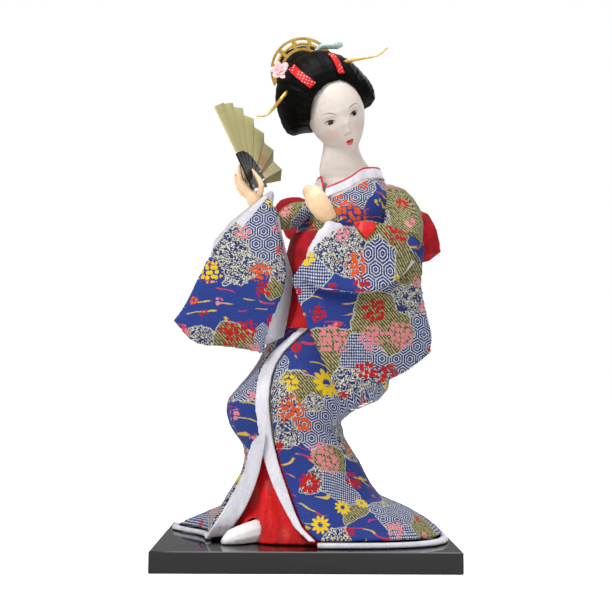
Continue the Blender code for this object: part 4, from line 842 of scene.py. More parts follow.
def node_mesh(*names: str) -> bmesh.types.BMesh:
    """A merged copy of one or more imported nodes.

    Args:
        names: the nodes.

    Returns:
        Their surfaces in one bmesh, with the loose triangles' corners merged.
    """
    merged = bmesh.new()
    for name in names:
        merged.from_mesh(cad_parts[name].data)
    bmesh.ops.remove_doubles(merged, verts=merged.verts, dist=1e-6)
    return merged


def piece_from(name: str, source: bmesh.types.BMesh) -> Piece:
    """An object at the origin with that mesh, shaded smooth.

    Args:
        name: the piece's name.
        source: its mesh, which is freed.

    Returns:
        The object, linked into the scene.
    """
    mesh = bpy.data.meshes.new(name)
    source.to_mesh(mesh)
    source.free()
    mesh.shade_smooth()
    made = bpy.data.objects.new(name, mesh)
    bpy.context.scene.collection.objects.link(made)
    return made


def apply_modifiers(piece: Piece) -> None:
    """Turns the piece's evaluated shape into its own plain mesh.

    Args:
        piece: the object with live modifiers.
    """
    bpy.context.view_layer.update()
    shaped = piece.evaluated_get(bpy.context.evaluated_depsgraph_get())
    plain = bpy.data.meshes.new_from_object(shaped)
    piece.modifiers.clear()
    old = piece.data
    piece.data = plain
    plain.name = piece.name
    bpy.data.meshes.remove(old)
    plain.shade_smooth()


def drop_strays(source: bmesh.types.BMesh) -> int:
    """Takes out everything but the largest connected body.

    Args:
        source: the mesh that is cleaned.

    Returns:
        How many stray bodies were taken out.
    """
    islands, left = [], set(source.faces)
    while left:
        island = [left.pop()]
        for face in island:
            beside = {other for edge in face.edges for other in edge.link_faces} & left
            left -= beside
            island.extend(beside)
        islands.append(island)
    islands.sort(key=len)
    stray = [face for island in islands[:-1] for face in island]
    bmesh.ops.delete(source, geom=stray, context="FACES")
    return len(islands) - 1


def even_mesh(name: str, nodes: tuple[str, ...], voxel: float, passes: int = 4) -> Piece:
    """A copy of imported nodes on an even, fine mesh that folds can be pressed into.

    Args:
        name: the piece's name.
        nodes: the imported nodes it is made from.
        voxel: the mesh's spacing in metres.
        passes: how many times it is smoothed.

    Returns:
        The piece.
    """
    made = piece_from(name, node_mesh(*nodes))
    remesh = made.modifiers.new("even", "REMESH")
    remesh.mode = "VOXEL"
    remesh.voxel_size = voxel
    soften = made.modifiers.new("soften", "SMOOTH")
    soften.factor = 0.5
    soften.iterations = passes
    apply_modifiers(made)
    source = bmesh.new()
    source.from_mesh(made.data)
    strays = drop_strays(source)
    if strays:
        source.to_mesh(made.data)
        log.info("%s: %d stray bodies taken out", name, strays)
    source.free()
    return made


@dataclass(frozen=True)
class Ring:
    """Equal parts set round an arc by Geometry Nodes, in millimetres and degrees from straight up."""

    count: int
    radius: float
    start: float
    sweep: float
    size: tuple[float, float, float]
    lean: float = 0.0
    rounded: bool = False

    def tree(self, finish: Finish) -> bpy.types.GeometryNodeTree:
        """Builds the node group with its named inputs.

        Args:
            finish: what the parts are made of.

        Returns:
            The group.
        """
        made = bpy.data.node_groups.new("ring_of_parts", "GeometryNodeTree")
        for label in ("Radius", "Start", "Sweep", "Lean"):
            made.interface.new_socket(label, in_out="INPUT", socket_type="NodeSocketFloat")
        made.interface.new_socket("Count", in_out="INPUT", socket_type="NodeSocketInt")
        made.interface.new_socket("Size", in_out="INPUT", socket_type="NodeSocketVector")
        made.interface.new_socket("Geometry", in_out="OUTPUT", socket_type="NodeSocketGeometry")
        graph = Graph(made)
        given = made.nodes.new("NodeGroupInput").outputs
        last = graph.add(MATH, given["Count"], 1.0, operation="SUBTRACT")
        share = graph.add(MATH, graph.add("GeometryNodeInputIndex"), last, operation="DIVIDE")
        angle = graph.add(MATH, share, given["Sweep"], given["Start"], operation="MULTIPLY_ADD")
        sine = graph.add(MATH, angle, operation="SINE")
        cosine = graph.add(MATH, angle, operation="COSINE")
        across = graph.add(MATH, sine, given["Radius"], operation="MULTIPLY")
        up = graph.add(MATH, cosine, given["Radius"], operation="MULTIPLY")
        spot = graph.add("ShaderNodeCombineXYZ", across, 0.0, up)
        spots = graph.add("GeometryNodePoints", given["Count"], spot)
        if self.rounded:
            part = graph.add("GeometryNodeMeshUVSphere", 24, 16, 0.5)
        else:
            part = graph.add("GeometryNodeMeshCube")
        part = graph.add("GeometryNodeTransform", part, named={"Scale": given["Size"]})
        turn = graph.add("ShaderNodeCombineXYZ", given["Lean"], angle, 0.0)
        placed = graph.add(
            "GeometryNodeInstanceOnPoints", named={"Points": spots, "Instance": part, "Rotation": turn}
        )
        whole = graph.add("GeometryNodeRealizeInstances", placed)
        whole = graph.add("GeometryNodeSetMaterial", whole, named={"Material": finish.material()})
        graph.add("NodeGroupOutput", whole)
        return made

    def add_to(self, whole: bmesh.types.BMesh, finish: Finish, place: Matrix) -> None:
        """Grows the parts and adds them to a mesh.

        Args:
            whole: the mesh they are added to.
            finish: what they are made of.
            place: the arc's frame, in metres.
        """
        grown = piece_from("grown_ring", bmesh.new())
        modifier = grown.modifiers.new("ring", "NODES")
        modifier.node_group = self.tree(finish)
        values = {
            "Count": self.count,
            "Radius": self.radius * MM,
            "Start": math.radians(self.start),
            "Sweep": math.radians(self.sweep),
            "Lean": math.radians(self.lean),
            "Size": [edge * MM for edge in self.size],
        }
        for socket in modifier.node_group.interface.items_tree:
            if socket.in_out == "INPUT":
                modifier[socket.identifier] = values[socket.name]
        apply_modifiers(grown)
        grown.data.transform(place)
        whole.from_mesh(grown.data)
        bpy.data.objects.remove(grown)


def read(rows: bpy.types.bpy_prop_collection, key: str, kind: type, width: int = 1) -> np.ndarray:
    """One value of each of a mesh's rows.

    Args:
        rows: the mesh's vertices, face corners or faces.
        key: what the value is called.
        kind: the numbers' type.
        width: how many numbers a value has.

    Returns:
        An array with one entry, or one row, for each.
    """
    flat = np.empty(len(rows) * width, dtype=kind)
    rows.foreach_get(key, flat)
    return flat if width == 1 else flat.reshape(-1, width)


def points_of(piece: Piece) -> np.ndarray:
    """The piece's vertices in millimetres, one row each."""
    return read(piece.data.vertices, "co", np.float64, 3) / MM


def move_points(piece: Piece, points: np.ndarray) -> None:
    """Gives the piece new vertex places.

    Args:
        piece: the object.
        points: its vertices in millimetres.
    """
    piece.data.vertices.foreach_set("co", (points * MM).ravel())
    piece.data.update()


def normals_of(piece: Piece) -> np.ndarray:
    """The piece's vertex normals, one row each."""
    return read(piece.data.vertex_normals, "vector", np.float32, 3).astype(np.float64)


def bell(distance: np.ndarray, width: float) -> np.ndarray:
    """A smooth bump of height one, that far wide either way."""
    return np.exp(-((distance / width) ** 2))


def step(value: np.ndarray, low: float, high: float) -> np.ndarray:
    """Rises smoothly from zero at low to one at high."""
    t = np.clip((value - low) / (high - low), 0.0, 1.0)
    return t * t * (3 - 2 * t)


@dataclass
class Roll:
    """Unrolls a form that stands round an upright axis, so that a pattern keeps its size on it."""

    axis_x: float
    axis_y: float
    rows: int = 48
    columns: int = 96
    table: dict = field(default_factory=dict)

    def angle(self, points: np.ndarray) -> np.ndarray:
        """The angle round the axis, zero at the front and growing to the viewer's right."""
        return np.arctan2(points[:, 0] - self.axis_x, -(points[:, 1] - self.axis_y))

    def fit(self, points: np.ndarray) -> None:
        """Measures how far out the form lies at each angle and height.

        Args:
            points: the form's vertices in millimetres.
        """
        low, high = points[:, 2].min(), points[:, 2].max()
        reach = np.hypot(points[:, 0] - self.axis_x, points[:, 1] - self.axis_y)
        row = np.clip(((points[:, 2] - low) / (high - low) * self.rows).astype(int), 0, self.rows - 1)
        column = ((self.angle(points) + math.pi) / math.tau * self.columns).astype(int) % self.columns
        radius = np.full((self.rows, self.columns), -1.0)
        np.maximum.at(radius, (row, column), reach)
        for _ in range(self.columns):
            empty = radius < 0
            if not empty.any():
                break
            around = np.stack([np.roll(radius, 1, 1), np.roll(radius, -1, 1)]).max(0)
            radius = np.where(empty, around, radius)
        radius = np.maximum(radius, 1.0)
        for _ in range(3):
            radius = (radius + np.roll(radius, 1, 1) + np.roll(radius, -1, 1)) / 3
            padded = np.pad(radius, ((1, 1), (0, 0)), mode="edge")
            radius = (padded[:-2] + padded[1:-1] + padded[2:]) / 3
        turn = math.tau / self.columns
        slope = (np.roll(radius, -1, 1) - np.roll(radius, 1, 1)) / (2 * turn)
        length = np.sqrt(radius**2 + slope**2) * turn
        arc = np.concatenate([np.zeros((self.rows, 1)), np.cumsum(length, axis=1)], axis=1)
        arc -= arc[:, [self.columns // 2]]
        lift = (high - low) / self.rows
        rise = np.sqrt(np.diff(radius, axis=0, append=radius[-1:]) ** 2 + lift**2)
        climb = low + np.cumsum(rise, axis=0) - rise
        self.table = {"low": low, "lift": lift, "arc": arc, "climb": climb}

    def place(self, angle: np.ndarray, height: np.ndarray) -> np.ndarray:
        """Where an angle and a height lie on the unrolled cloth.

        Args:
            angle: angles in radians, which may run past half a turn.
            height: heights in millimetres.

        Returns:
            Places on the cloth in millimetres, one row each.
        """
        turns = np.floor((angle + math.pi) / math.tau)
        within = (angle - turns * math.tau + math.pi) / math.tau * self.columns
        up = np.clip((height - self.table["low"]) / self.table["lift"] - 0.5, 0, self.rows - 1.001)
        row, column = up.astype(int), np.clip(within.astype(int), 0, self.columns - 1)
        a, b = up - row, within - column
        row2 = np.minimum(row + 1, self.rows - 1)
        arc, climb = self.table["arc"], self.table["climb"]

        def mixed(grid: np.ndarray, next_column: np.ndarray) -> np.ndarray:
            """Reads a table between its rows and columns.

            Args:
                grid: the table.
                next_column: the column on the far side of each place.

            Returns:
                One value for each place.
            """
            near = grid[row, column] * (1 - b) + grid[row, next_column] * b
            far = grid[row2, column] * (1 - b) + grid[row2, next_column] * b
            return near * (1 - a) + far * a

        girth = arc[row, -1] - arc[row, 0]
        along = mixed(arc, column + 1) + turns * girth
        return np.stack([along, mixed(climb, (column + 1) % self.columns)], axis=1)


@dataclass
class Brocade:
    """Lays the woven pattern on a piece: its UV map, its fields and its flowers."""

    flowers: tuple[Flower, ...]
    patches: tuple[Patch, ...]
    seed: int
    roll: Roll | None = None
    spacing: float = 13.0
    tries: int = 900

    def corner_places(self, piece: Piece, points: np.ndarray) -> np.ndarray:
        """The place on the cloth of each face corner, in millimetres.

        Args:
            piece: the object.
            points: its vertices in millimetres.

        Returns:
            One row for each face corner.
        """
        corners = read(piece.data.loops, "vertex_index", np.int32)
        if self.roll is None:
            return points[corners][:, [0, 2]]
        starts, totals = (read(piece.data.polygons, key, np.int32) for key in ("loop_start", "loop_total"))
        angle = self.roll.angle(points)[corners]
        first = np.repeat(angle[starts], totals)
        angle = angle - math.tau * np.round((angle - first) / math.tau)
        return self.roll.place(angle, points[corners][:, 2])

    def scatter(
        self,
        places: np.ndarray,
        taken: list[tuple[float, float, float]],
        size: tuple[float, float],
        gap: float,
    ) -> list[tuple[float, float, float]]:
        """Fills what is left of the cloth with more places, by a fixed seed.

        Args:
            places: places on the cloth that exist.
            taken: middle and radius of what lies there as given.
            size: the smallest and largest radius.
            gap: the distance kept between middles, as a share of their radii.

        Returns:
            Middles and radii, the given ones first.
        """
        draw = np.random.RandomState(self.seed)
        found = list(taken)
        for _ in range(self.tries):
            u, v = places[draw.randint(len(places))]
            r = draw.uniform(*size)
            if all(math.hypot(u - a, v - b) > (r + c) * gap for a, b, c in found):
                found.append((u, v, r))
        return found

    def dress(self, piece: Piece) -> None:
        """Writes the pattern's map and attributes.

        Args:
            piece: the object, on an even mesh.
        """
        mesh = piece.data
        points, normals = points_of(piece), normals_of(piece)
        if self.roll is not None:
            self.roll.fit(points)
        places = self.corner_places(piece, points)
        layer = mesh.uv_layers.new(name="cloth_mm")
        layer.data.foreach_set("uv", places.ravel())

        corners = read(mesh.loops, "vertex_index", np.int32)
        vertex_place = np.zeros((len(points), 2))
        vertex_place[corners] = places
        facing = np.flatnonzero(normals[:, 1] < 0.0)

        def on_cloth(x: float, z: float) -> tuple[float, float]:
            """The place on the cloth of a point of the front view."""
            apart = np.hypot(points[facing, 0] - x, points[facing, 2] - z) + 0.02 * points[facing, 1]
            return tuple(vertex_place[facing[int(np.argmin(apart))]])

        starts, totals = (read(mesh.polygons, key, np.int32) for key in ("loop_start", "loop_total"))
        middle = np.add.reduceat(places, starts, axis=0) / totals[:, None]

        given = [(*on_cloth(f.x, f.z), f.size) for f in self.flowers]
        spots = np.array(self.scatter(middle, given, (2.5, 4.5), 1.9))
        draw = np.random.RandomState(self.seed + 1)
        tints = [f.tint for f in self.flowers]
        styles = [f.style.value for f in self.flowers]
        palette = (YELLOW, ORANGE, RED, PINK, RED, PINK)
        while len(tints) < len(spots):
            tints.append(palette[draw.randint(len(palette))])
            styles.append(float(draw.randint(8) > 0))
        turns = draw.uniform(0, math.tau, len(spots))
        nearest = np.zeros(len(middle), dtype=int)
        best = np.full(len(middle), 1e9)
        for i, (u, v, r) in enumerate(spots):
            apart = np.hypot(middle[:, 0] - u, middle[:, 1] - v) / r
            closer = apart < best
            best[closer] = apart[closer]
            nearest[closer] = i
        own = np.repeat(nearest, totals)
        offset = (places - spots[own][:, :2]) / spots[own][:, 2:3]
        cosine, sine = np.cos(turns[own]), np.sin(turns[own])
        across, up = offset.T
        local = np.stack([across * cosine - up * sine, across * sine + up * cosine, 0 * sine], axis=1)
        for name, kind, key, values in (
            ("flower", "FLOAT_VECTOR", "vector", local),
            ("flower_style", "FLOAT", "value", np.array(styles)[own]),
            ("flower_tint", "FLOAT_COLOR", "color", np.array([linear(tint) for tint in tints])[own]),
        ):
            mesh.attributes.new(name, kind, "CORNER").data.foreach_set(key, values.ravel())

        given = [(*on_cloth(p.x, p.z), p.size) for p in self.patches]
        seeds = self.scatter(middle, given, (6.0, self.spacing), 0.8)
        kinds = [p.kind for p in self.patches]
        while len(kinds) < len(seeds):
            kinds.append(WOVEN_SHARE[draw.randint(len(WOVEN_SHARE))])
        for kind in FIELD_KINDS:
            apart = np.full(len(places), 4.0)
            for (u, v, r), own_kind in zip(seeds, kinds):
                if own_kind == kind:
                    apart = np.minimum(apart, np.hypot(places[:, 0] - u, places[:, 1] - v) / r)
            mesh.attributes.new(f"field_{kind}", "FLOAT", "CORNER").data.foreach_set("value", apart)


def dress(piece: Piece, finish: Finish, nodes: tuple[str, ...]) -> Piece:
    """Gives a piece its finish, says what it stands for and fixes it to the figurine.

    Args:
        piece: the object.
        finish: its finish.
        nodes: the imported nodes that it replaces, if any.

    Returns:
        The same piece.
    """
    piece.data.materials.clear()
    piece.data.materials.append(finish.material())
    if nodes:
        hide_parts(*nodes)
    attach(piece, "root")
    log.info("%s: %d faces, for %s", piece.name, len(piece.data.polygons), ", ".join(nodes) or "trim")
    return piece


def finish_node(node: str, finish: Finish) -> None:
    """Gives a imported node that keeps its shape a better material.

    Args:
        node: the node's name.
        finish: its finish.
    """
    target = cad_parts[node]
    if not target.material_slots:
        target.data.materials.append(finish.material())
    for held in target.material_slots:
        held.material = finish.material()
    log.info("%s: %s", node, finish.name)


# Finishes. Lacquer sprayed and polished on board: a deep black that mirrors the room at a low angle
LACQUER = PlainFinish(
    "polished_black_lacquer", "#080807", "#0c0c0b", 0.08, grain_mm=2.0, relief_mm=0.001, specular=0.42
)
# Zinc-plated steel screws and rivet, turned: a bright grey with a soft mirror
STEEL = PlainFinish("zinc_plated_steel", "#b9bbbe", "#8d9094", 0.32, metallic=1.0, relief_mm=0.004)
# Planed softwood dowels, unpainted: a pale wood with a dry grain
WOOD = PlainFinish("planed_softwood", "#c59a62", "#a97d48", 0.70, Grain.FIBRE, 0.5, 0.03)
# Wadding wound on the body: a dull cream felt
PADDING = PlainFinish("cotton_wadding", "#cfc5b2", "#b8ad98", 0.95, Grain.CREPE, 0.9, 0.15, sheen=0.3)
# Polyester satin, woven with long floats: a bright red whose folds shine
RED_SATIN = PlainFinish(
    "red_polyester_satin", "#e60d10", "#b4070b", 0.40, Grain.SATIN, 0.5, 0.02, sheen=0.05, specular=0.4
)
# Crepe with twisted threads: a deep crimson with a dull crinkle
CRIMSON_CREPE = PlainFinish(
    "crimson_crepe", "#b80c1a", "#8a0812", 0.66, Grain.CREPE, 0.75, 0.10, sheen=0.05, specular=0.2
)
# Acetate satin: a cool white whose streaks go from silver to lavender grey
WHITE_SATIN = PlainFinish(
    "white_acetate_satin", "#dcdae0", "#c6c4cd", 0.42, Grain.SATIN, 0.6, 0.03, sheen=0.2
)
# Bleached cotton of a split-toed sock: a flat white
TABI = PlainFinish("bleached_cotton", "#f2f2f0", "#e4e4e2", 0.80, Grain.CREPE, 0.5, 0.05)
# Moulded resin hands, brushed with a peach paint: a soft matt skin
SKIN = PlainFinish(
    "peach_painted_resin", "#f3d3ae", "#ecc59c", 0.50, grain_mm=3.0, relief_mm=0.01, subsurface=0.15
)
# Bisque resin head, painted by hand: an off-white that is matt and a little translucent
BISQUE = FaceFinish()
# Gilt stamped brass: a warm gold with a satin shine
GILT = PlainFinish(
    "stamped_gilt_brass", "#e3bb5c", "#c79a3c", 0.36, grain_mm=0.8, relief_mm=0.02, metallic=0.45
)
# Dyed silk petals: pink with pale rims
PETAL = PlainFinish("dyed_silk_petals", "#f0b3b8", "#f7dcdc", 0.60, Grain.CREPE, 0.9, 0.08, sheen=0.3)
# Moulded pearly resin: a pale jade green
JADE = PlainFinish("pearly_resin", "#c8d8d4", "#9fb9b6", 0.30, grain_mm=1.6, relief_mm=0.03, coat=0.4)
# Gold paper, folded into pleats: straw panels with painted shade on every second pleat, and a dull metal
# shine
GOLD_PAPER = FanFinish()
# Painted bamboo sticks: a glossy black
STICK = PlainFinish(
    "black_painted_bamboo", "#040404", "#090909", 0.40, Grain.FIBRE, 0.4, 0.01, specular=0.15
)
# Combed acrylic fibre: black strands with thin streaks of painted highlight
HAIR = HairFinish()
# Tie-dyed silk ribbons: a bright red with white knots
RIBBON_LEFT = RibbonFinish("tie_dyed_ribbon_left", -42.0)
RIBBON_RIGHT = RibbonFinish("tie_dyed_ribbon_right", -64.0)
# Silk brocade, woven on blue: raised silver, gold and coloured threads with a dull shine
BROCADE = BrocadeFinish()


@dataclass
class Base:
    """The lacquered board with the posts, screws and padded body on it."""

    keeps: tuple[tuple[str, Finish], ...] = (
        ("lacquer_board", LACQUER),
        ("front_leg_post", WOOD),
        ("rear_leg_post", WOOD),
        ("front_screw", STEEL),
        ("rear_screw", STEEL),
        ("padded_body", PADDING),
        ("fan_rivet", STEEL),
        ("gilt_comb", GILT),
        ("left_hair_pin", GILT),
        ("right_hair_pin", GILT),
        ("pale_bud", JADE),
        ("gold_fan_leaf", GOLD_PAPER),
        ("fan_ribs", STICK),
        ("left_hair_ribbon", RIBBON_LEFT),
        ("right_hair_ribbon", RIBBON_RIGHT),
        ("red_collar_piping", RED_SATIN),
    )

    def build(self) -> None:
        """Gives each node that keeps its shape its finish."""
        for node, finish in self.keeps:
            finish_node(node, finish)


@dataclass
class Ornaments:
    """The silk flower in the hair and the stamped plate that narrows the comb's windows."""

    flower_place: tuple[float, float, float] = (-22.8, 3.0, 35.5)
    flower_tilt: float = -28.0
    petals: tuple[Ring, ...] = (
        Ring(6, 3.9, 0.0, 300.0, (4.6, 1.2, 5.4), 18.0, True),
        Ring(5, 2.2, 30.0, 288.0, (3.4, 1.2, 4.0), 38.0, True),
        Ring(3, 0.7, 0.0, 240.0, (1.8, 2.2, 1.8), 0.0, True),
    )
    comb_place: tuple[float, float, float] = (-7.5, 12.0, 31.7)
    plates: tuple[Ring, ...] = (
        Ring(30, 16.5, -78.0, 156.0, (1.50, 1.0, 1.7)),
        Ring(12, 18.1, -88.0, 22.0, (1.0, 1.0, 1.5)),
        Ring(12, 18.1, 66.0, 22.0, (1.0, 1.0, 1.5)),
    )

    def build(self) -> None:
        """Grows the petals and the comb's plates."""
        place = HEAD_FRAME @ Matrix.Translation(Vector(self.flower_place) * MM)
        place = place @ Matrix.Rotation(math.radians(self.flower_tilt), 4, "X")
        whole = bmesh.new()
        for ring in self.petals:
            ring.add_to(whole, PETAL, place)
        dress(piece_from("silk_petals", whole), PETAL, ("pink_flower",))
        whole = bmesh.new()
        for ring in self.plates:
            ring.add_to(whole, GILT, HEAD_FRAME @ Matrix.Translation(Vector(self.comb_place) * MM))
        dress(piece_from("comb_plates", whole), GILT, ())


@dataclass
class Skirt:
    """The brocade skirt with its train, and the satin that shows at its front."""

    cloth_voxel: float = 0.0012
    satin_voxel: float = 0.0007
    underskirt_voxel: float = 0.0009
    fold_depth: float = 0.9
    axis: tuple[float, float] = (3.0, -4.0)
    low_fold: float = 0.8
    high_fold: float = 0.45
    crease_depth: float = 2.2
    crease_rim: float = 1.2
    edge_shift: float = 6.0
    flap_rise: tuple[float, float, float] = (2.0, -0.6, 9.0)
    underskirt_fold: float = 1.1
    flowers: tuple[Flower, ...] = (
        Flower(12, 103, 8, DAISY, YELLOW),
        Flower(-9, 103, 5, CLUSTER, YELLOW),
        Flower(-9, 88, 7.5, CLUSTER, ORANGE),
        Flower(-2, 80, 5, CLUSTER, ORANGE),
        Flower(11, 60, 8.5, CLUSTER, PINK),
        Flower(2, 46, 6.5, DAISY, RED),
        Flower(27, 47, 5.5, CLUSTER, RED),
        Flower(21, 33, 5, DAISY, YELLOW),
        Flower(31, 35, 4, DAISY, YELLOW),
        Flower(8, 25, 5.5, DAISY, YELLOW),
        Flower(50, 22, 5, CLUSTER, PINK),
    )
    patches: tuple[Patch, ...] = (
        Patch(-38, 98, 16, "hexagon"),
        Patch(-40, 80, 13, "plain"),
        Patch(5, 122, 16, "plain"),
        Patch(20, 118, 9, "hexagon"),
        Patch(0, 103, 14, "meadow"),
        Patch(-14, 95, 10, "scroll"),
        Patch(3, 93, 8, "scroll"),
        Patch(25, 100, 9, "hexagon"),
        Patch(8, 76, 13, "hexagon"),
        Patch(-10, 70, 8, "scroll"),
        Patch(14, 60, 11, "meadow"),
        Patch(-9, 56, 9, "plain"),
        Patch(4, 47, 9, "scroll"),
        Patch(18, 42, 9, "check"),
        Patch(12, 33, 9, "plain"),
        Patch(26, 30, 9, "meadow"),
        Patch(50, 28, 13, "hexagon"),
        Patch(34, 20, 9, "plain"),
        Patch(66, 20, 9, "meadow"),
    )

    def folds(self, points: np.ndarray) -> np.ndarray:
        """Presses soft folds into everything that lies on the skirt's form.

        Args:
            points: places in millimetres.

        Returns:
            The same places after folding.
        """
        x, y, z = points.T
        angle = np.arctan2(x - self.axis[0], -(y - self.axis[1]))
        low = step(z, 75.0, 20.0)
        depth = low * np.sin(angle * 7.0 + z * 0.02) * self.low_fold
        depth += step(z, 150.0, 120.0) * np.sin(angle * 4.0 + z * 0.09) * self.high_fold
        crease = z - (80.0 + 0.18 * (x - 22.0))
        depth -= self.crease_depth * bell(crease, 3.0) * step(x, 2.0, 20.0)
        depth += self.crease_rim * bell(crease - 7.0, 5.0) * step(x, 2.0, 20.0)
        out = np.stack([np.sin(angle), -np.cos(angle), 0 * angle], axis=1)
        fade = step(z, 15.0, 24.0) * step(z, 150.0, 135.0)
        return points + out * (depth * fade * self.fold_depth)[:, None]

    def build(self) -> None:
        """Makes the skirt, its satin edges and the underskirt."""
        skirt = even_mesh("brocade_skirt_cloth", ("brocade_skirt",), self.cloth_voxel)
        Brocade(self.flowers, self.patches, seed=11, roll=Roll(*self.axis)).dress(skirt)
        points = points_of(skirt)
        edge = step(points[:, 0], -44.0, -33.0) * (points[:, 0] < -28.0) * (points[:, 1] < 0.0)
        points[:, 0] += self.edge_shift * edge * bell(points[:, 2] - 80.0, 18.0)
        move_points(skirt, self.folds(points))
        dress(skirt, BROCADE, ("brocade_skirt",))
        for name, node, flat in (
            ("front_edge_satin", "front_edge_band", (0.010, 0.130)),
            ("hem_edge_satin", "padded_hem", (0.010, 0.240)),
            ("lining_flap_satin", "white_lining_flap", (0.015, 0.062)),
            ("underskirt_satin", "red_underskirt", (0.16, 0.06)),
        ):
            wide = node == "red_underskirt"
            finish, slot = (RED_SATIN, "red_satin") if wide else (WHITE_SATIN, "white_satin")
            piece = even_mesh(name, (node,), self.underskirt_voxel if wide else self.satin_voxel, 3)
            points = self.folds(points_of(piece))
            if node == "white_lining_flap":
                rise = step(points[:, 2], 46.0, 65.0) * step(points[:, 0], -36.0, -27.0)
                points += np.array(self.flap_rise) * rise[:, None]
            if wide:
                x, _, z = points.T
                wave = np.sin(x * 0.42 + z * 0.16 + 0.8 * np.sin(z * 0.11))
                points[:, 1] -= self.underskirt_fold * wave * step(z, 14.0, 24.0)
            move_points(piece, points)
            dress(piece, finish, (node,))


@dataclass
class Upper:
    """Bodice, collars, sash, its cord and the bow."""

    voxel: float = 0.0010
    sash_voxel: float = 0.0010
    band_voxel: float = 0.0006

    def build(self) -> None:
        """Makes the pieces from the waist to the neck."""
        bodice = even_mesh("bodice_cloth", ("brocade_bodice",), self.voxel)
        patches = (
            Patch(30, 215, 15, "hexagon"),
            Patch(10, 200, 9, "meadow"),
            Patch(-3, 205, 8, "plain"),
            Patch(45, 205, 12, "plain"),
        )
        flowers = (
            Flower(22, 205, 6.5, CLUSTER, ORANGE),
            Flower(30, 201, 6, CLUSTER, ORANGE),
            Flower(16, 213, 4, CLUSTER, ORANGE),
        )
        Brocade(flowers, patches, seed=5, roll=Roll(24.0, 1.0)).dress(bodice)
        dress(bodice, BROCADE, ("brocade_bodice",))
        for name, node, flat, held in (
            ("under_collar_satin", "white_under_collar", (0.010, 0.100), "folded"),
            ("obi_crepe", "red_obi", (0.19, 0.06), "stretched"),
            ("obi_cord_satin", "white_obi_cord", (0.010, 0.100), "stretched"),
            ("bow_left_crepe", "bow_left_loop", (0.035, 0.040), "folded"),
            ("bow_right_crepe", "bow_right_loop", (0.045, 0.060), "folded"),
            ("bow_band_crepe", "bow_middle_band", (0.015, 0.05), "folded"),
            ("bow_left_tail_crepe", "bow_left_tail", (0.013, 0.048), "hung"),
            ("bow_right_tail_crepe", "bow_right_tail", (0.014, 0.052), "hung"),
        ):
            white = node.startswith("white")
            finish, slot = (WHITE_SATIN, "white_satin") if white else (CRIMSON_CREPE, "red_satin")
            voxel = self.sash_voxel if node == "red_obi" else self.band_voxel
            piece = even_mesh(name, (node,), voxel, 2)
            dress(piece, finish, (node,))


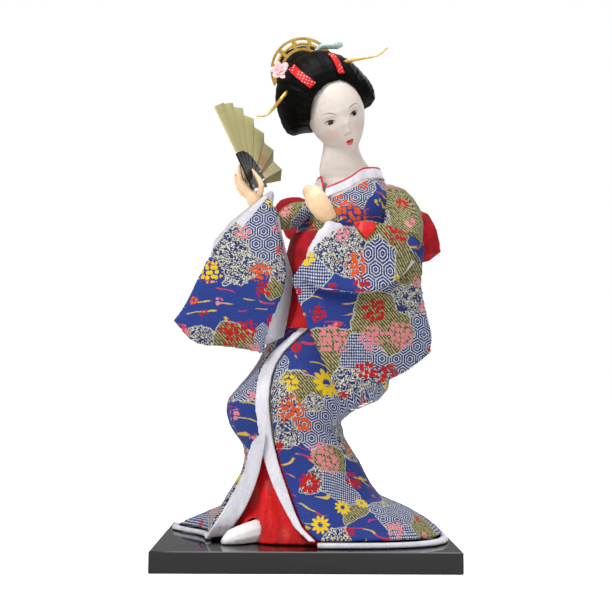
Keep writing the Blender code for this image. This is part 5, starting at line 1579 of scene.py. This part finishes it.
@dataclass
class Sleeves:
    """The hanging sleeves with their white linings, the upper sleeves and the red robe's corner."""

    voxel: float = 0.0008
    lining_voxel: float = 0.0008
    cell_mm: float = 2.5
    layer_mm: float = 3.0
    corner_left: float = 23.5
    corner_width: float = 14.7
    corner_foot: float = 183.0
    corner_rise: float = 11.0
    corner_tip: float = 0.62
    corner_top: float = 193.6
    corner_gap: float = 0.1
    corner_thickness: float = 0.6
    overhang: float = 7.5
    tuck_depth: float = 3.0
    drop: float = 4.0
    mouth: tuple[float, float] = (-3.6, 167.0)
    mouth_way: tuple[float, float] = (0.435, 0.900)
    band_width: float = 8.4

    def hanging_folds(self, points: np.ndarray) -> np.ndarray:
        """Lets the viewer's right sleeve fall over itself in two deep folds.

        Args:
            points: places in millimetres.

        Returns:
            The same places after folding.
        """
        x, y, z = points.T
        across = (-6.0, 6.0, 16.0, 26.0, 36.0, 46.0, 56.0, 61.0, 73.0)
        sag = np.interp(x, across, (160.0, 157.5, 156.5, 155.0, 155.5, 160.5, 168.0, 174.0, 186.0))
        above = z - sag
        bulge = step(above, -0.6, 1.2) * np.exp(-np.clip(above, 0, None) / 11.0) * step(x, -8.0, 10.0)
        tuck = bell(above + 3.0, 3.4)
        ripple = np.sin(x * 0.16 + z * 0.07) * 0.5 * step(z, 95.0, 120.0)
        out = points.copy()
        out[:, 1] -= self.overhang * bulge - self.tuck_depth * tuck + ripple
        out[:, 2] -= self.drop * bulge
        return out

    def bared_lining(self, points: np.ndarray) -> np.ndarray:
        """Draws the viewer's right sleeve back from its mouth, so that a band of its lining shows.

        Args:
            points: places in millimetres.

        Returns:
            The same places after drawing back.
        """
        across, up = points[:, 0] - self.mouth[0], points[:, 2] - self.mouth[1]
        right, rise = self.mouth_way
        along = across * right + up * rise
        inward = across * rise - up * right
        width = self.band_width * np.clip(along / 34.0, 0.0, 1.15) ** 1.4
        slide = width * (1.0 - step(inward, 0.0, 26.0))
        out = points.copy()
        out[:, 0] += slide * rise
        out[:, 2] -= slide * right
        lift = np.interp(points[:, 0], (20.0, 36.0, 63.0, 72.0), (0.0, 4.5, 8.0, 7.0))
        top = np.interp(points[:, 0], (12.0, 40.0, 71.0), (193.0, 190.0, 180.0))
        out[:, 2] += lift * step(points[:, 2] - top, -24.0, -2.0)
        return out

    def red_corner(self, sleeve: Piece) -> Piece:
        """The corner of a red under-robe that peeps out where shoulder and sleeve meet.

        Args:
            sleeve: the dressed sleeve, whose surface it lies on.

        Returns:
            The corner as a closed thin sheet.
        """
        source = bmesh.new()
        source.from_mesh(sleeve.data)
        away, kept, nearest = [], [], {}
        for face in source.faces:
            x, y, z = face.calc_center_median() / MM
            level = (x - self.corner_left) / self.corner_width
            foot = self.corner_foot + self.corner_rise * abs(level - self.corner_tip) / self.corner_tip
            if face.normal.y > -0.1 or not 0.0 < level < 1.0 or not foot < z < self.corner_top:
                away.append(face)
                continue
            cell = (round(x / self.cell_mm), round(z / self.cell_mm))
            nearest[cell] = min(nearest.get(cell, y), y)
            kept.append((face, y, cell))
        away += [face for face, y, cell in kept if y > nearest[cell] + self.layer_mm]
        bmesh.ops.delete(source, geom=away, context="FACES")
        drop_strays(source)
        for vertex in source.verts:
            vertex.co += vertex.normal * self.corner_gap * MM
        made = piece_from("red_robe_corner", source)
        thick = made.modifiers.new("thick", "SOLIDIFY")
        thick.thickness = self.corner_thickness * MM
        thick.offset = 1.0
        apply_modifiers(made)
        return made

    def turn_out(self, piece: Piece, low: tuple[float, float], high: tuple[float, float]) -> None:
        """Marks the cloth that is turned out beyond a line, where the white lining shows.

        Args:
            piece: the sleeve.
            low: the line's lower end, in millimetres seen from the front.
            high: its upper end.
        """
        points = points_of(piece)
        along = Vector((high[0] - low[0], high[1] - low[1])).normalized()
        across, up = points[:, 0] - low[0], points[:, 2] - low[1]
        out = up * along.x - across * along.y
        reach = (across * along.x + up * along.y) * 0.35
        held = piece.data.attributes.new("bare_mm", "FLOAT", "POINT")
        held.data.foreach_set("value", np.minimum(out, reach).astype(np.float32))

    def build(self) -> None:
        """Makes the sleeves."""
        left = even_mesh("viewer_right_sleeve_cloth", ("left_sleeve",), self.voxel)
        flowers = (
            Flower(-2, 173, 5, CLUSTER, YELLOW),
            Flower(27, 169, 6, CLUSTER, ORANGE),
            Flower(30, 158, 5, CLUSTER, RED),
            Flower(53, 190, 8, CLUSTER, RED),
            Flower(37, 143, 7, CLUSTER, RED),
            Flower(14, 127, 8.5, CLUSTER, PINK),
            Flower(52, 130, 8, CLUSTER, PINK),
            Flower(36, 128, 7, CLUSTER, PINK),
            Flower(33, 110, 6, CLUSTER, RED),
            Flower(45, 107, 7, CLUSTER, RED),
            Flower(6, 141, 4.5, CLUSTER, RED),
            Flower(16, 188, 5, CLUSTER, PINK),
        )
        patches = (
            Patch(15, 178, 15, "scroll"),
            Patch(40, 168, 12, "hexagon"),
            Patch(55, 190, 10, "meadow"),
            Patch(70, 180, 8, "plain"),
            Patch(12, 148, 11, "plain"),
            Patch(35, 143, 12, "meadow"),
            Patch(12, 125, 12, "meadow"),
            Patch(62, 150, 10, "scroll"),
            Patch(50, 130, 11, "meadow"),
            Patch(62, 118, 12, "hexagon"),
            Patch(25, 105, 8, "scroll"),
            Patch(45, 105, 7, "scroll"),
        )
        Brocade(flowers, patches, seed=21).dress(left)
        move_points(left, self.bared_lining(self.hanging_folds(points_of(left))))
        dress(left, BROCADE, ("left_sleeve",))
        corner = self.red_corner(left)
        dress(corner, RED_SATIN, ())
        lining = even_mesh("viewer_right_sleeve_lining", ("left_inner_sleeve",), self.lining_voxel, 8)
        move_points(lining, self.hanging_folds(points_of(lining)))
        dress(lining, WHITE_SATIN, ("left_inner_sleeve",))

        right = even_mesh("viewer_left_sleeve_cloth", ("right_sleeve",), self.voxel)
        flowers = (
            Flower(-37, 189, 4.5, CLUSTER, PINK),
            Flower(-55, 166, 6.5, CLUSTER, YELLOW),
            Flower(-27, 166, 5.5, CLUSTER, ORANGE),
            Flower(-25, 156, 4.5, CLUSTER, RED),
            Flower(-43, 131, 7, CLUSTER, RED),
            Flower(-34, 132, 6, CLUSTER, RED),
            Flower(-73, 131, 4, CLUSTER, PINK),
            Flower(-30, 121, 5, CLUSTER, PINK),
        )
        patches = (
            Patch(-26, 198, 12, "hexagon"),
            Patch(-25, 184, 11, "hexagon"),
            Patch(-45, 178, 13, "scroll"),
            Patch(-38, 163, 13, "scroll"),
            Patch(-60, 150, 13, "plain"),
            Patch(-35, 148, 13, "plain"),
            Patch(-42, 131, 12, "meadow"),
            Patch(-62, 130, 9, "scroll"),
            Patch(-22, 130, 9, "hexagon"),
            Patch(-20, 155, 8, "meadow"),
        )
        Brocade(flowers, patches, seed=31).dress(right)
        points = points_of(right)
        self.turn_out(right, (-37.4, 191.3), (-21.8, 211.0))
        points[:, 0] -= 7.0 * step(-points[:, 2], -162.0, -126.0) * step(points[:, 0], -32.0, -12.0)
        move_points(right, points)
        dress(right, BROCADE, ("right_sleeve",))
        lining = piece_from("viewer_left_sleeve_lining", node_mesh("right_inner_sleeve"))
        points = points_of(lining)
        points[:, 0] += 1.5 * step(points[:, 0], -24.0, -12.0)
        move_points(lining, points)
        dress(lining, WHITE_SATIN, ("right_inner_sleeve",))

        for name, node, seed, flat in (
            ("viewer_right_shoulder_cloth", "left_upper_sleeve", 41, (0.09, 0.07)),
            ("viewer_left_shoulder_cloth", "right_upper_sleeve", 51, (0.06, 0.05)),
        ):
            piece = even_mesh(name, (node,), self.voxel)
            middle = points_of(piece).mean(axis=0)
            if node == "left_upper_sleeve":
                points = points_of(piece)
                points[:, 0] -= 3.5 * step(-points[:, 0], -56.0, -47.0)
                move_points(piece, points)
            Brocade((), (), seed=seed, roll=Roll(middle[0], middle[1])).dress(piece)
            dress(piece, BROCADE, (node,))


@dataclass
class Limbs:
    """The hands and the white-socked feet."""

    voxel: float = 0.0005

    def build(self) -> None:
        """Makes the hands and feet."""
        for name, node, finish, slot in (
            ("fan_hand_skin", "fan_hand", SKIN, "skin"),
            ("breast_hand_skin", "breast_hand", SKIN, "skin"),
            ("front_tabi", "front_tabi_foot", TABI, "tabi"),
            ("rear_tabi", "rear_tabi_foot", TABI, "tabi"),
        ):
            dress(even_mesh(name, (node,), self.voxel, 3), finish, (node,))


@dataclass(frozen=True)
class Feature:
    """One swelling or hollow of the face, in millimetres of the head's frame seen from the front."""

    x: float
    z: float
    half_width: float
    half_height: float
    rise: float


@dataclass
class Head:
    """The bisque head and neck, the wig and its knot."""

    skin_voxel: float = 0.00048
    neck_middle: float = 18.0
    neck_flare: float = 0.30
    hair_voxel: float = 0.00070
    strand_depth: float = 0.22
    features: tuple[Feature, ...] = (
        Feature(-8.8, -4.4, 5.0, 2.8, -0.9),
        Feature(6.6, -4.1, 5.0, 2.8, -0.9),
        Feature(-8.8, -4.6, 2.9, 1.7, 0.65),
        Feature(6.5, -4.3, 2.9, 1.7, 0.65),
        Feature(-8.6, -0.8, 5.0, 1.6, 0.25),
        Feature(7.0, -0.5, 5.0, 1.6, 0.25),
        Feature(-1.6, -5.5, 1.5, 4.0, 0.55),
        Feature(-1.1, -9.5, 1.4, 3.0, 0.35),
        Feature(-0.8, -12.9, 1.5, 1.5, 1.15),
        Feature(-2.3, -13.3, 0.9, 1.0, 0.50),
        Feature(0.9, -13.2, 0.9, 1.0, 0.50),
        Feature(-0.7, -15.3, 2.4, 0.9, -0.75),
        Feature(-0.3, -18.1, 2.9, 0.9, 0.60),
        Feature(-0.2, -18.85, 2.8, 0.35, -0.45),
        Feature(-0.2, -19.8, 2.2, 0.9, 0.60),
        Feature(-0.3, -21.7, 2.8, 0.9, -0.45),
        Feature(-0.6, -24.3, 3.6, 2.2, 0.55),
        Feature(-10.0, -11.5, 4.5, 4.5, 0.45),
        Feature(8.6, -11.5, 4.5, 4.5, 0.45),
    )

    def face(self, points: np.ndarray) -> np.ndarray:
        """Models the eyes, nose, lips, cheeks and chin on the front of the head.

        Args:
            points: places in millimetres.

        Returns:
            The same places after modelling.
        """
        turn = np.array(HEAD_FRAME.to_3x3())
        origin = np.array(HEAD_FRAME.translation) / MM
        own = (points - origin) @ turn
        front = step(own[:, 1], -3.0, -9.0)
        for part in self.features:
            across = (own[:, 0] - part.x) / part.half_width
            up = (own[:, 2] - part.z) / part.half_height
            own[:, 1] -= part.rise * np.exp(-(across**2) - up**2) * front
        return own @ turn.T + origin

    def strands(self, points: np.ndarray, normals: np.ndarray) -> np.ndarray:
        """Presses shallow combed grooves into the hair, on rays from the middle of the face.

        Args:
            points: places in millimetres.
            normals: the normals there.

        Returns:
            The same places after combing.
        """
        turn = np.array(HEAD_FRAME.to_3x3())
        own = (points - np.array(HEAD_FRAME.translation) / MM) @ turn
        angle = np.arctan2(own[:, 0] + 1.0, own[:, 2] + 4.0)
        depth = np.sin(angle * 34.0) * 0.5 + np.sin(angle * 61.0 + own[:, 1] * 0.1) * 0.35
        depth += np.sin(angle * 13.0 + own[:, 1] * 0.05) * 0.6
        return points + normals * (depth * self.strand_depth * step(own[:, 2], 45.0, 36.0))[:, None]

    def build(self) -> None:
        """Makes the head and the hair."""
        head = even_mesh("bisque_head", ("head_and_neck",), self.skin_voxel)
        points = self.face(points_of(head))
        flare = step(-points[:, 2], -248.0, -228.0) * step(points[:, 2], 214.0, 226.0)
        points[:, 0] += (points[:, 0] - self.neck_middle) * self.neck_flare * flare
        move_points(head, points)
        dress(head, BISQUE, ("head_and_neck",))
        for name, node in (("combed_wig", "black_wig"), ("combed_knot", "hair_knot")):
            hair = even_mesh(name, (node,), self.hair_voxel)
            move_points(hair, self.strands(points_of(hair), normals_of(hair)))
            dress(hair, HAIR, (node,))


@dataclass
class Studio:
    """Floor, light and the camera at the photograph's angle."""

    lens_mm: float = 60.6
    sensor_mm: float = 36.0
    floor_half: float = 6.0
    aim: tuple[float, float, float] = (0.0, 0.0, 0.15)
    place_mm: tuple[float, float, float] = (-7.3, -620.0, 103.7)
    yaw: float = 0.65
    pitch: float = 4.17
    roll: float = 0.33
    sky_strength: float = 0.26

    def camera(self) -> None:
        """Sets the camera where the photograph was taken."""
        yaw, pitch, roll = (math.radians(a) for a in (self.yaw, self.pitch, self.roll))
        ahead = Vector((math.sin(yaw) * math.cos(pitch), math.cos(yaw) * math.cos(pitch), math.sin(pitch)))
        level = Vector((math.cos(yaw), -math.sin(yaw), 0.0))
        upright = level.cross(ahead)
        right = level * math.cos(roll) + upright * math.sin(roll)
        up = upright * math.cos(roll) - level * math.sin(roll)
        data = bpy.data.cameras.new("photograph_view")
        data.lens = self.lens_mm
        data.sensor_width = self.sensor_mm
        data.sensor_fit = "HORIZONTAL"
        data.clip_start = 0.01
        made = bpy.data.objects.new("photograph_view", data)
        turn = Matrix((right, up, -ahead)).transposed().to_4x4()
        made.matrix_world = Matrix.Translation(Vector(self.place_mm) * MM) @ turn
        bpy.context.scene.collection.objects.link(made)
        bpy.context.scene.camera = made

    def floor(self) -> None:
        """Lays a pale floor under the board."""
        sheet = bmesh.new()
        bmesh.ops.create_grid(sheet, x_segments=1, y_segments=1, size=self.floor_half)
        made = piece_from("pale_floor", sheet)
        made.data.materials.append(PaperFinish().material())

    def lights(self) -> None:
        """Hangs large soft lights round the figurine under a white sky."""
        world = bpy.data.worlds.new("white_room")
        bpy.context.scene.world = world
        world.use_nodes = True
        graph, sky = Graph(world.node_tree), world.node_tree.nodes["Background"]
        seen = graph.add("ShaderNodeLightPath", output="Is Camera Ray")
        strength = graph.add(SPREAD, seen, 0.0, 1.0, self.sky_strength, 1.0)
        world.node_tree.links.new(strength, sky.inputs["Strength"])
        sky.inputs["Color"].default_value = (1.0, 1.0, 1.0, 1.0)
        for name, place, size, power in (
            ("key_light", (-0.75, -0.8, 1.25), 0.40, 17.0),
            ("fill_light", (0.9, -0.9, 0.5), 0.9, 2.6),
            ("top_light", (0.1, -0.2, 1.4), 0.7, 9.0),
            ("rim_light", (0.5, 0.9, 0.8), 0.6, 3.0),
        ):
            data = bpy.data.lights.new(name, "AREA")
            data.size = size
            data.energy = power
            made = bpy.data.objects.new(name, data)
            made.location = place
            aim = Vector(self.aim) - Vector(place)
            made.rotation_euler = aim.to_track_quat("-Z", "Y").to_euler()
            bpy.context.scene.collection.objects.link(made)
        bpy.context.scene.view_settings.view_transform = "Standard"

    def build(self) -> None:
        """Sets camera, floor and lights."""
        self.camera()
        self.floor()
        self.lights()


def main() -> None:
    """Builds every sub-assembly in order."""
    logging.basicConfig(level=logging.INFO, format="%(message)s")
    for assembly in (Studio(), Base(), Skirt(), Upper(), Limbs(), Sleeves(), Head(), Ornaments()):
        assembly.build()
        log.info("%s is done", type(assembly).__name__)


if __name__ == "__main__":
    main()
